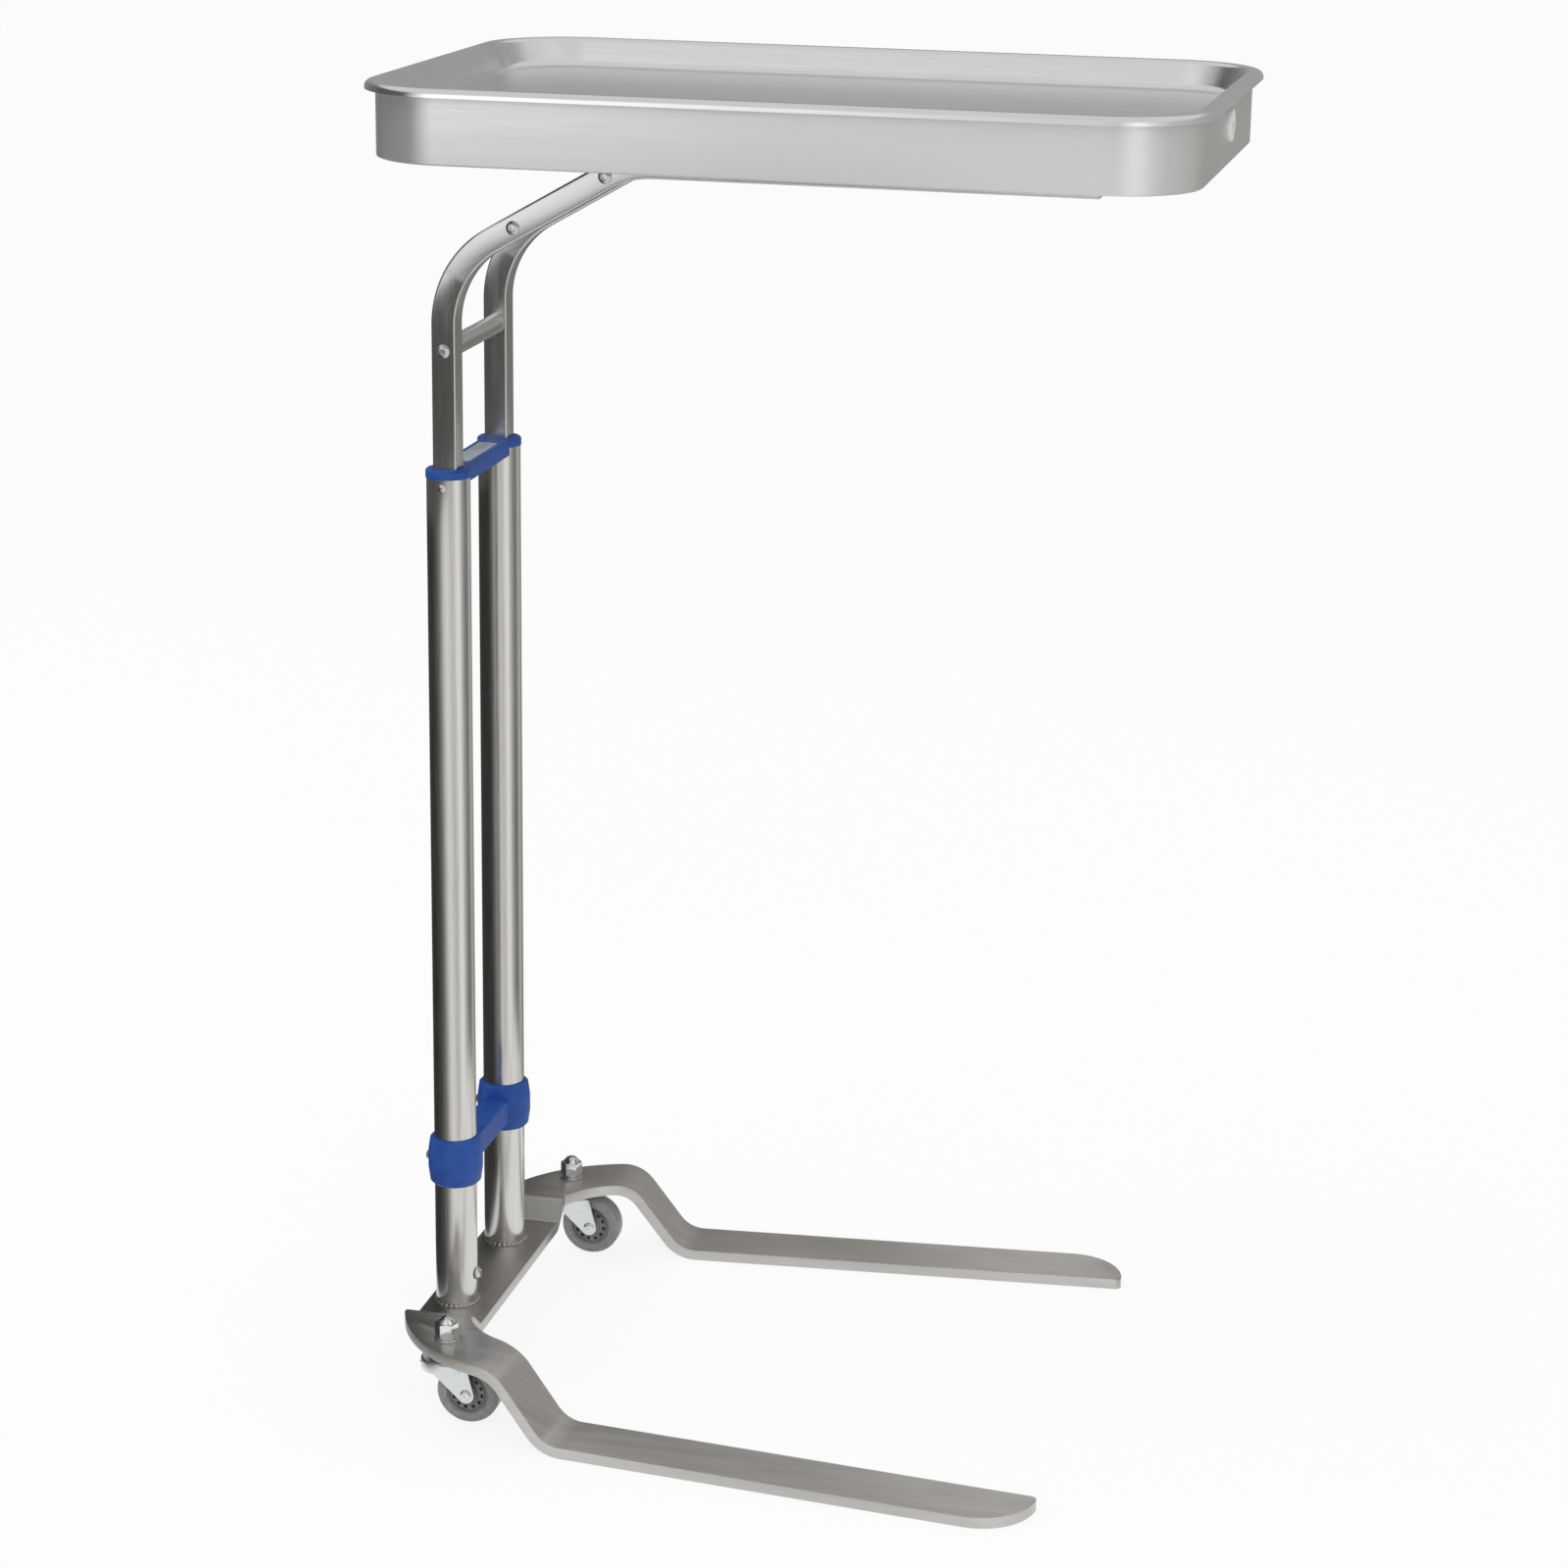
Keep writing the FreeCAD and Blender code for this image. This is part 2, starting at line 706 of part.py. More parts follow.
def make_stop_screw():
    """Button-head screw through the right post, under the travel of the bar."""
    seat = V(post_x + post_radius, post_axis_y("right"), stop_screw_height)
    return screw(stop_screw_diameter, stop_screw_reach, stop_screw_head_diameter, stop_screw_head_height,
                 seat, V(1, 0, 0), bar_screw_socket, bar_screw_socket_depth)


def make_cross_bar():
    """Flat bar under the posts, joggled up at both ends to meet the legs."""
    level = cross_bar_top - plate_thickness / 2
    raised = hump_top - plate_thickness / 2
    points = [V(cross_bar_rear, -leg_seam_y, raised), V(cross_bar_rear, -joggle_end_y, raised),
              V(cross_bar_rear, -joggle_start_y, level), V(cross_bar_rear, joggle_start_y, level),
              V(cross_bar_rear, joggle_end_y, raised), V(cross_bar_rear, leg_seam_y, raised)]
    return bent_plate(points, joggle_bend_radius, plate_thickness, V(cross_bar_width, 0, 0))


def meeting_point(start, direction, other, other_direction):
    """Point where two level lines meet, each given by a point and a direction."""
    across = V(-other_direction.y, other_direction.x, 0)
    return start + direction * ((other - start).dot(across) / direction.dot(across))


def heading(angle):
    """Level unit vector at an angle in degrees from the X axis."""
    return V(math.cos(math.radians(angle)), math.sin(math.radians(angle)), 0)


def leg_outline():
    """Plan of the left leg, from its seam with the cross bar to its rounded tip."""
    along = heading(leg_splay_angle)
    outward = heading(leg_splay_angle + 90)
    half = leg_width / 2
    root = V(post_x, leg_root_y, 0)
    tip = root + along * ((leg_tip_reach + post_reach) / along.x)
    rear_seam = V(cross_bar_rear, leg_seam_y, 0)
    front_seam = V(cross_bar_front, leg_seam_y, 0)
    outer_corner = meeting_point(rear_seam, heading(leg_corner_angle), root + outward * half, along)
    inner_corner = meeting_point(front_seam, heading(leg_fillet_angle), root - outward * half, along)
    points = [rear_seam, outer_corner, tip + outward * half, tip - outward * half, inner_corner, front_seam]
    radii = [leg_corner_radius, leg_tip_radius, leg_tip_inner_radius, leg_fillet_radius]
    edges = bend_edges(points, radii)
    edges.append(Part.LineSegment(front_seam, rear_seam).toShape())
    return Part.Wire(edges)


def make_leg(side):
    """Flat leg: raised root over the caster, a crank, and a long run on the floor."""
    plan = prism(leg_outline(), hump_top)
    raised = hump_top - plate_thickness / 2
    floor = plate_thickness / 2
    drop = hump_top - plate_thickness
    run = drop / math.tan(math.radians(leg_crank_angle))
    far = leg_tip_reach + post_reach
    points = [V(-far, 0, raised), V(leg_crank_x, 0, raised), V(leg_crank_x + run, 0, floor),
              V(2 * far, 0, floor)]
    strip = bent_plate(points, leg_crank_radius, plate_thickness, V(0, 4 * leg_width, 0))
    strip.translate(V(0, -3 * leg_width, 0))
    strip.rotate(V(0, 0, 0), V(0, 0, 1), leg_splay_angle)
    strip.translate(V(post_x, leg_root_y, 0))
    leg = plan.common(strip)
    leg = leg.cut(cylinder(stem_diameter / 2, hump_top, V(post_x + caster_x, caster_y, 0)))
    if side == "right":
        leg = leg.mirror(V(0, 0, 0), V(0, 1, 0))
    return leg


def caster_axis(side):
    """Point on the floor below the kingpin of a caster."""
    return V(post_x + caster_x, SIDES[side] * caster_y, 0)


def make_stem(side):
    """Kingpin of a caster: riveted head below the fork, thread through the leg."""
    axis = caster_axis(side)
    head_bottom = fork_top - fork_sheet - stem_running_gap - stem_head_height
    top = hump_top + washer_thickness + lock_washer_thickness + stem_nut_engagement
    head = cylinder(stem_head_diameter / 2, stem_head_height, axis + V(0, 0, head_bottom))
    shank = cylinder(stem_diameter / 2, top - head_bottom, axis + V(0, 0, head_bottom))
    return fuse([head, shank])


def make_upper_race(side):
    """Pressed ring under the leg that the caster turns against."""
    axis = caster_axis(side)
    base = axis + V(0, 0, hump_underside - race_thickness)
    ring = cylinder(race_diameter / 2, race_thickness, base)
    return ring.cut(cylinder(stem_diameter / 2, race_thickness, base))


def make_washers(side):
    """Flat washer and lock washer under the nut."""
    axis = caster_axis(side)
    flat = cylinder(washer_diameter / 2, washer_thickness, axis + V(0, 0, hump_top))
    flat = flat.cut(cylinder(stem_diameter / 2, washer_thickness, axis + V(0, 0, hump_top)))
    base = axis + V(0, 0, hump_top + washer_thickness)
    lock = cylinder(lock_washer_diameter / 2, lock_washer_thickness, base)
    lock = lock.cut(cylinder(stem_diameter / 2, lock_washer_thickness, base))
    return Part.makeCompound([flat, lock])


def make_acorn_nut(side):
    """Domed cap nut on the kingpin."""
    base = caster_axis(side) + V(0, 0, hump_top + washer_thickness + lock_washer_thickness)
    corner_radius = nut_across_flats / 2 / math.cos(math.radians(30))
    dome_radius = nut_dome_diameter / 2
    spring = nut_total_height - dome_radius
    chamfered = [(0, 0), (corner_radius, 0), (corner_radius, nut_hex_height - nut_crown_chamfer),
                 (corner_radius - 2 * nut_crown_chamfer, nut_hex_height), (0, nut_hex_height)]
    skirt = hexagon(nut_across_flats, nut_hex_height, base).common(turned(chamfered, base))
    dome = [(0, 0), (dome_radius, 0)]
    for angle in (0, 25, 50, 70):
        lift = math.radians(angle)
        dome.append((dome_radius * math.cos(lift), spring + dome_radius * math.sin(lift)))
    dome.append((0, nut_total_height))
    bore = cylinder(stem_diameter / 2, stem_nut_engagement, base)
    return fuse([skirt, turned(dome, base)]).cut(bore)


def make_fork(side):
    """Pressed caster fork: round crown, top web and two tapered side plates."""
    axis = caster_axis(side)
    axle = axis + V(caster_trail, 0, wheel_radius)
    crown_radius = fork_crown_diameter / 2
    crown_bottom = fork_top - fork_crown_height
    chamfer = fork_crown_chamfer
    crown = turned([(0, 0), (crown_radius, 0), (crown_radius, fork_crown_height - chamfer),
                    (crown_radius - chamfer, fork_crown_height), (0, fork_crown_height)],
                   axis + V(0, 0, crown_bottom))
    hollow = cylinder(crown_radius - fork_sheet, fork_crown_height - fork_sheet, axis + V(0, 0, crown_bottom))
    crown = crown.cut(hollow)
    front = box(axis.x + fork_web_front, axis.y - fork_half_slot, crown_bottom,
                axis.x + crown_radius, axis.y + fork_half_slot, fork_top)
    crown = crown.cut(front)
    plates = []
    for sign in (1, -1):
        inner_y = axis.y + sign * fork_half_slot
        outline = fork_plate_points(axis, axle, inner_y)
        face = Part.Face(Part.makePolygon(outline + [outline[0]]))
        plate = face.extrude(V(0, sign * fork_sheet, 0))
        round_end = cylinder(fork_end_radius, fork_sheet, V(axle.x, inner_y, axle.z), V(0, sign, 0))
        plates.append(fuse([plate, round_end]))
    fork = fuse([crown] + plates)
    tools = [cylinder(axle_diameter / 2, 2 * fork_half_width,
                      V(axle.x, axis.y - fork_half_width, axle.z), V(0, 1, 0)),
             cylinder(stem_diameter / 2 + stem_running_gap, fork_crown_height, axis + V(0, 0, crown_bottom))]
    return cut(fork, tools)


def fork_plate_points(axis, axle, y):
    """Corners of a fork plate: its top edge, and where its sloping edges touch the round end."""
    plate_top = fork_top - fork_crown_chamfer
    rear = V(axis.x - fork_plate_rear, y, plate_top)
    front = V(axis.x + fork_plate_front, y, plate_top)
    centre = V(axle.x, y, axle.z)
    points = [rear, front]
    for top, turn in ((front, -1), (rear, 1)):
        lean = math.atan2(top.z - centre.z, top.x - centre.x)
        touch = lean + turn * math.acos(fork_end_radius / (top - centre).Length)
        points.append(centre + V(math.cos(touch), 0, math.sin(touch)) * fork_end_radius)
    return points


def make_ball_ring(side):
    """Ring of balls between the fork and the race."""
    axis = caster_axis(side)
    height = fork_top_gap - race_thickness - stem_running_gap
    base = axis + V(0, 0, fork_top)
    cage = cylinder(ball_ring_diameter / 2, height, base).cut(cylinder(ball_ring_bore / 2, height, base))
    return cage


def make_axle(side):
    """Riveted axle of a wheel, with a domed head on each side of the fork."""
    axis = caster_axis(side)
    axle = axis + V(caster_trail, 0, wheel_radius)
    pin = cylinder(axle_diameter / 2, 2 * fork_half_width, axle - V(0, fork_half_width, 0), V(0, 1, 0))
    heads = []
    for sign in (1, -1):
        seat = axle + V(0, sign * fork_half_width, 0)
        heads.append(button_head(axle_head_diameter, axle_head_height, 0, 0, seat, V(0, sign, 0)))
    return fuse([pin] + heads)


def wheel_turned(points, side):
    """Solid turned about the wheel axis from (radius, offset) points."""
    centre = caster_axis(side) + V(caster_trail, 0, wheel_radius)
    return turned(points, centre, V(0, 1, 0), V(1, 0, 0))


def make_hub(side):
    """Wheel hub with a groove and a ring of square pockets on each face."""
    half = hub_width / 2
    boss = hub_boss_width / 2
    outer = hub_diameter / 2
    groove_out = hub_groove_diameter / 2 + hub_groove_width / 2
    groove_in = groove_out - hub_groove_width
    boss_radius = hub_boss_diameter / 2
    bore = bush_diameter / 2
    step = half - hub_groove_depth
    points = [(bore, -boss), (boss_radius, -boss), (boss_radius, -half), (groove_in, -half),
              (groove_in, -step), (groove_out, -step), (groove_out, -half), (outer, -half),
              (outer, half), (groove_out, half), (groove_out, step), (groove_in, step),
              (groove_in, half), (boss_radius, half), (boss_radius, boss), (bore, boss)]
    hub = wheel_turned(points, side)
    centre = caster_axis(side) + V(caster_trail, 0, wheel_radius)
    pockets = []
    half_hole = hub_hole_size / 2
    for index in range(hub_hole_count):
        pocket = box(hub_hole_circle / 2 - half_hole, -half, -half_hole,
                     hub_hole_circle / 2 + half_hole, half, half_hole)
        pocket.rotate(V(0, 0, 0), V(0, 1, 0), 360.0 * index / hub_hole_count)
        pocket.translate(centre)
        pockets.append(pocket)
    return hub.cut(Part.makeCompound(pockets))


def make_tyre(side):
    """Soft tyre with rounded shoulders on the hub."""
    half = wheel_width / 2
    inner = hub_diameter / 2
    shoulder = wheel_radius - tyre_shoulder
    flank = half - tyre_shoulder
    points = [(inner, -half), (shoulder, -half), (wheel_radius, -flank), (wheel_radius, flank),
              (shoulder, half), (inner, half)]
    return wheel_turned(points, side)


def make_bush(side):
    """Plain bearing sleeve pressed in the hub, running on the axle."""
    boss = hub_boss_width / 2
    running_radius = axle_diameter / 2 + axle_running_gap
    points = [(running_radius, -boss), (bush_diameter / 2, -boss), (bush_diameter / 2, boss),
              (running_radius, boss)]
    return wheel_turned(points, side)


def build_nodes():
    """Every sub-part of the stand by its name."""
    nodes = {
        "instrument_tray": make_tray(),
        "tray_frame_band": make_frame_band(),
        "rear_cross_strap": make_strap(rear_strap_x),
        "front_cross_strap": make_strap(front_strap_x),
        "tray_button": make_tray_button(),
        "tray_button_screw": make_button_screw(),
        "low_cross_rod": make_cross_rod("low"),
        "middle_cross_rod": make_cross_rod("middle"),
        "upper_cross_rod": make_cross_rod("upper"),
        "rail_screws": make_rail_screws(),
        "shoe_screws": make_shoe_screws(),
        "post_weld_beads": make_weld_beads(),
        "post_cap": make_cap(),
        "cap_inlay": make_cap_inlay(),
        "cap_rivets": make_cap_rivets(),
        "friction_pads": make_friction_pads(),
        "post_collar": make_collar(),
        "collar_screws": make_collar_screws(),
        "stop_screw": make_stop_screw(),
        "base_cross_bar": make_cross_bar(),
    }
    for side in SIDES:
        nodes[side + "_bar"] = make_bar(side)
        nodes[side + "_bar_screws"] = make_bar_screws(side)
        nodes[side + "_guide_shoe"] = make_guide_shoe(side)
        nodes[side + "_post"] = make_post(side)
        nodes[side + "_leg"] = make_leg(side)
        nodes[side + "_caster_stem"] = make_stem(side)
        nodes[side + "_caster_race"] = make_upper_race(side)
        nodes[side + "_stem_washers"] = make_washers(side)
        nodes[side + "_acorn_nut"] = make_acorn_nut(side)
        nodes[side + "_caster_fork"] = make_fork(side)
        nodes[side + "_ball_ring"] = make_ball_ring(side)
        nodes[side + "_wheel_axle"] = make_axle(side)
        nodes[side + "_wheel_hub"] = make_hub(side)
        nodes[side + "_wheel_tyre"] = make_tyre(side)
        nodes[side + "_wheel_bush"] = make_bush(side)
    return nodes


os.makedirs("parts", exist_ok=True)
for name, shape in build_nodes().items():
    shape.exportStep("parts/" + name + ".step")
    limits = shape.BoundBox
    print("%-20s solids %2d valid %s volume %10.1f  x %7.1f %7.1f  y %7.1f %7.1f  z %6.1f %6.1f" % (
        name, len(shape.Solids), shape.isValid(), shape.Volume, limits.XMin, limits.XMax,
        limits.YMin, limits.YMax, limits.ZMin, limits.ZMax))
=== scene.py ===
"""Mayo instrument stand: shown pieces, finishes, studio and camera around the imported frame.

Every size is in metres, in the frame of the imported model: +Z up, +X from the posts towards the
free end of the tray, and the origin on the floor below the middle of the tray.
"""

from __future__ import annotations

import json
import logging
import math
from collections.abc import Callable, Mapping, Sequence
from dataclasses import dataclass
from enum import Enum

import bpy
from mathutils import Matrix, Vector

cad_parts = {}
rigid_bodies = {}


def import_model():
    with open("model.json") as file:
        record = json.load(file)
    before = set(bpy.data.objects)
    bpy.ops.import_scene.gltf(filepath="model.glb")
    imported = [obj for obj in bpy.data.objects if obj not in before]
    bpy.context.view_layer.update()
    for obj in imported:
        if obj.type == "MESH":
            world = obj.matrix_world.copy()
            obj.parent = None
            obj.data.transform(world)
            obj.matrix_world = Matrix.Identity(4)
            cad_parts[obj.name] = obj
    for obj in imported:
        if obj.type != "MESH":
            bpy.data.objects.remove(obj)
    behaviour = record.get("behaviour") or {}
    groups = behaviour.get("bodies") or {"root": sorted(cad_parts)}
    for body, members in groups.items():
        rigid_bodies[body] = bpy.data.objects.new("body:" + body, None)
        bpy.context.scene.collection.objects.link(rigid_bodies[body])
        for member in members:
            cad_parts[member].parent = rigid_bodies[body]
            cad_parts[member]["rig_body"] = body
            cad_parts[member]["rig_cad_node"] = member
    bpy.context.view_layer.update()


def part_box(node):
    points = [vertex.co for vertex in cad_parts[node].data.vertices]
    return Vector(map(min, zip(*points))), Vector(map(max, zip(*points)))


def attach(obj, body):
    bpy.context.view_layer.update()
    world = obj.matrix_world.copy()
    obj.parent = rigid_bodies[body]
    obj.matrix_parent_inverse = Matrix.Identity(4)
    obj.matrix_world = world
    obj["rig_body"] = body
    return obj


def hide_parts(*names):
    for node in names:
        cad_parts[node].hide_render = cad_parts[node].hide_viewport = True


LOG = logging.getLogger("instrument_stand")
MM = 0.001
FINE = 96
MEDIUM = 48
SMOOTH_ANGLE = math.radians(32.0)
FLAT_ANGLE = math.radians(0.4)
MERGE_DISTANCE = 0.005 * MM
CAD_MERGE_DISTANCE = 0.002 * MM
LEVEL_TOLERANCE = 0.01 * MM
FACING = 0.9
SOCKET_RIM = 1.45
SMALL_HEAD_MM = ((0.0, -0.5), (2.6, -0.5), (2.6, 0.2), (1.8, 0.6), (0.9, 0.8), (0.0, 0.8))
GRAIN_MAP = "grain"
GRAIN_LEAN = 0.8
PATTERN_RANGE = (0.3, 0.7)
CORNER_STEPS = 28
WHITE = (1.0, 1.0, 1.0, 1.0)
CROSS_RODS = ("low_cross_rod", "middle_cross_rod", "upper_cross_rod")
Color = tuple[float, float, float]


class Axis(Enum):
    """Direction of a turned piece or of a metal's grain."""

    X = (1.0, 0.0, 0.0)
    Y = (0.0, 1.0, 0.0)
    Z = (0.0, 0.0, 1.0)
    BACK_Y = (0.0, -1.0, 0.0)

    @property
    def vector(self) -> Vector:
        """The direction as a vector."""
        return Vector(self.value)


class Side(Enum):
    """Which of the two mirrored halves a piece belongs to."""

    LEFT = ("left", 1.0)
    RIGHT = ("right", -1.0)

    @property
    def word(self) -> str:
        """The word that starts the names of this side's pieces."""
        return self.value[0]

    @property
    def sign(self) -> float:
        """The sign of this side along Y."""
        return self.value[1]

    @property
    def outward(self) -> Axis:
        """The direction away from the other side."""
        return Axis.Y if self is Side.LEFT else Axis.BACK_Y

    def outer_y(self, box: Span) -> float:
        """Y of the face of a box that looks away from the other side."""
        return box.high.y if self is Side.LEFT else box.low.y


@dataclass(frozen=True)
class Span:
    """The box of one solid of the frame."""

    low: Vector
    high: Vector

    @classmethod
    def of(cls, node: str) -> Span:
        """Reads a solid's box from the frame."""
        return cls(*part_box(node))

    @property
    def middle(self) -> Vector:
        """Middle of the box."""
        return (self.low + self.high) / 2

    @property
    def length(self) -> float:
        """Size along X."""
        return self.high.x - self.low.x

    @property
    def width(self) -> float:
        """Size along Y."""
        return self.high.y - self.low.y

    @property
    def height(self) -> float:
        """Size along Z."""
        return self.high.z - self.low.z

    @property
    def foot(self) -> Vector:
        """Middle of the lower face."""
        return Vector((self.middle.x, self.middle.y, self.low.z))


def deselect() -> None:
    """Leaves nothing selected, outside edit mode."""
    if bpy.context.object is not None and bpy.context.object.mode != "OBJECT":
        bpy.ops.object.mode_set(mode="OBJECT")
    bpy.ops.object.select_all(action="DESELECT")


def pick(piece: bpy.types.Object) -> None:
    """Makes one object the only selected one and the active one.

    Args:
        piece: The object to pick.
    """
    deselect()
    piece.select_set(True)
    bpy.context.view_layer.objects.active = piece


def settle(piece: bpy.types.Object) -> None:
    """Moves an object's place, turn and scale into its mesh.

    Args:
        piece: The object to settle.
    """
    pick(piece)
    bpy.ops.object.transform_apply(location=True, rotation=True, scale=True)


def enter_edit(piece: bpy.types.Object, mode: str = "EDGE") -> None:
    """Opens a piece in edit mode with everything selected.

    Args:
        piece: The piece to open.
        mode: Select mode, VERT, EDGE or FACE.
    """
    pick(piece)
    bpy.ops.object.mode_set(mode="EDIT")
    bpy.ops.mesh.select_mode(type=mode)
    bpy.ops.mesh.select_all(action="SELECT")


def leave_edit() -> bpy.types.Object:
    """Closes edit mode.

    Returns:
        The piece that was open.
    """
    bpy.ops.object.mode_set(mode="OBJECT")
    return bpy.context.object


def push(offset: Sequence[float]) -> None:
    """Extrudes the selected faces of the open piece.

    Args:
        offset: How far they go along each axis.
    """
    bpy.ops.mesh.extrude_region_move(TRANSFORM_OT_translate={"value": tuple(offset)})


def drag(height: float) -> None:
    """Extrudes the selected edges of the open piece along Z.

    Args:
        height: How far they go.
    """
    bpy.ops.mesh.extrude_edges_move(TRANSFORM_OT_translate={"value": (0.0, 0.0, height)})


def spin(steps: int, angle: float, centre: Vector) -> None:
    """Sweeps the selected face of the open piece round a line along -Y.

    Args:
        steps: Stretches in the sweep.
        angle: Angle of the sweep.
        centre: A point of the line.
    """
    bpy.ops.mesh.spin(steps=steps, angle=angle, center=centre, axis=(0.0, -1.0, 0.0))


def sink(points: Sequence[tuple[float, float]]) -> None:
    """Insets the selected face of the open piece step by step.

    Args:
        points: Inset and height of each step, from where the face is now.
    """
    for (inset, height), (next_inset, next_height) in zip(points, points[1:]):
        bpy.ops.mesh.inset(thickness=next_inset - inset, depth=next_height - height)


def select_faces(piece: bpy.types.Object, test: Callable[[Vector, Vector], bool]) -> int:
    """Selects the faces of the open piece that pass a test on their centre and normal.

    Args:
        piece: The piece, open in edit mode.
        test: Called with a face's centre and its normal.

    Returns:
        How many faces are selected.
    """
    bpy.ops.mesh.select_mode(type="FACE")
    bpy.ops.mesh.select_all(action="DESELECT")
    bpy.ops.object.mode_set(mode="OBJECT")
    count = 0
    for polygon in piece.data.polygons:
        polygon.select = test(polygon.center, polygon.normal)
        count += polygon.select
    bpy.ops.object.mode_set(mode="EDIT")
    return count


def aim(piece: bpy.types.Object, seat: Vector, axis: Axis) -> None:
    """Turns a piece that was made upright at the origin to its axis and sets it on its seat.

    Args:
        piece: The piece.
        seat: Where its origin goes.
        axis: Where its +Z points.
    """
    turn = Vector((0.0, 0.0, 1.0)).rotation_difference(axis.vector)
    piece.rotation_mode = "QUATERNION"
    piece.rotation_quaternion = turn
    piece.location = seat
    settle(piece)


def add_modifier(piece: bpy.types.Object, kind: str, **settings: object) -> None:
    """Adds a modifier, sets it and applies it.

    Args:
        piece: The piece that gets the modifier.
        kind: Blender's name of the modifier type.
        **settings: Values for the modifier's own settings.
    """
    pick(piece)
    modifier = piece.modifiers.new(kind.lower(), kind)
    for name, value in settings.items():
        setattr(modifier, name, value)
    bpy.ops.object.modifier_apply(modifier=modifier.name)


def soften(piece: bpy.types.Object, width: float, segments: int = 3) -> None:
    """Rounds the sharp edges of a piece.

    Args:
        piece: The piece.
        width: Width of the rounding.
        segments: Faces across the rounding.
    """
    add_modifier(
        piece, "BEVEL", width=width, segments=segments, limit_method="ANGLE",
        angle_limit=SMOOTH_ANGLE, harden_normals=False,
    )


def thicken(piece: bpy.types.Object, sheet: float) -> None:
    """Gives a thin skin its thickness, inwards from its faces.

    Args:
        piece: The skin.
        sheet: The thickness.
    """
    add_modifier(piece, "SOLIDIFY", thickness=sheet, offset=-1.0, use_even_offset=True)


def shade(piece: bpy.types.Object) -> None:
    """Shades a piece smooth across its gentle edges.

    Args:
        piece: The piece.
    """
    pick(piece)
    bpy.ops.object.shade_smooth_by_angle(angle=SMOOTH_ANGLE)


def face_consistently(piece: bpy.types.Object) -> None:
    """Turns every face of a piece the same way, outwards where it is closed.

    Args:
        piece: The piece.
    """
    enter_edit(piece)
    bpy.ops.mesh.normals_make_consistent(inside=False)
    leave_edit()


def flip(piece: bpy.types.Object) -> None:
    """Turns every face of a piece over.

    Args:
        piece: The piece.
    """
    enter_edit(piece)
    bpy.ops.mesh.flip_normals()
    leave_edit()


def mend_normals(piece: bpy.types.Object) -> None:
    """Merges double points and turns every face outwards.

    Args:
        piece: The piece.
    """
    enter_edit(piece)
    bpy.ops.mesh.remove_doubles(threshold=MERGE_DISTANCE)
    bpy.ops.mesh.normals_make_consistent(inside=False)
    leave_edit()


def turned(profile: Sequence[tuple[float, float]], segments: int = FINE) -> bpy.types.Object:
    """Turns a profile about +Z by extruding and scaling a ring of edges.

    A profile that starts or ends on the axis is closed there. One that ends where it starts
    is a ring.

    Args:
        profile: Radius and height of each point, in order.
        segments: Faces round the axis.

    Returns:
        The piece, upright at the origin.
    """
    points = list(profile)
    closed_start = points[0][0] == 0.0
    if closed_start:
        points = points[1:]
    radius, height = points[0]
    fill = "NGON" if closed_start else "NOTHING"
    deselect()
    bpy.ops.mesh.primitive_circle_add(
        vertices=segments, radius=radius, fill_type=fill, location=(0.0, 0.0, height)
    )
    piece = bpy.context.object
    settle(piece)
    enter_edit(piece)
    if closed_start:
        bpy.ops.mesh.region_to_loop()
    for next_radius, next_height in points[1:]:
        drag(next_height - height)
        if next_radius == 0.0:
            bpy.ops.mesh.merge(type="CENTER")
            break
        ratio = next_radius / radius
        bpy.ops.transform.resize(value=(ratio, ratio, 1.0), center_override=(0.0, 0.0, next_height))
        radius, height = next_radius, next_height
    leave_edit()
    mend_normals(piece)
    return piece


def arc(
    centre: tuple[float, float], radius: float, start: float, end: float, steps: int
) -> list[tuple[float, float]]:
    """Points of an arc in the plane of a profile.

    Args:
        centre: Radius and height of the arc's centre.
        radius: Radius of the arc.
        start: First angle in degrees, 0 outwards and 90 upwards.
        end: Last angle in degrees.
        steps: Stretches in the arc.

    Returns:
        The points, both ends among them.
    """
    points = []
    for step in range(steps + 1):
        angle = math.radians(start + (end - start) * step / steps)
        points.append((centre[0] + radius * math.cos(angle), centre[1] + radius * math.sin(angle)))
    return points


def rounded_plate(
    centre: Vector, length: float, width: float, radius: float, steps: int
) -> bpy.types.Object:
    """A level face with round corners, open in edit mode with its face selected.

    Args:
        centre: Middle of the face.
        length: Size along X.
        width: Size along Y.
        radius: Radius of the corners.
        steps: Stretches in each corner.

    Returns:
        The piece.
    """
    deselect()
    bpy.ops.mesh.primitive_plane_add(size=1.0, location=centre)
    piece = bpy.context.object
    piece.scale = (length, width, 1.0)
    settle(piece)
    enter_edit(piece, "VERT")
    bpy.ops.mesh.bevel(offset=radius, segments=steps, affect="VERTICES")
    bpy.ops.mesh.select_mode(type="FACE")
    bpy.ops.mesh.select_all(action="SELECT")
    return piece


def cap_loop(piece: bpy.types.Object, upwards: bool) -> None:
    """Fills the selected loop of the open piece with one face that points up or down.

    Args:
        piece: The piece, open in edit mode with a level loop selected.
        upwards: Whether the face points up.
    """
    bpy.ops.mesh.edge_face_add()
    bpy.ops.mesh.select_mode(type="FACE")
    bpy.ops.object.mode_set(mode="OBJECT")
    cap = next(polygon for polygon in piece.data.polygons if polygon.select)
    wrong = (cap.normal.z > 0.0) != upwards
    bpy.ops.object.mode_set(mode="EDIT")
    if wrong:
        bpy.ops.mesh.flip_normals()


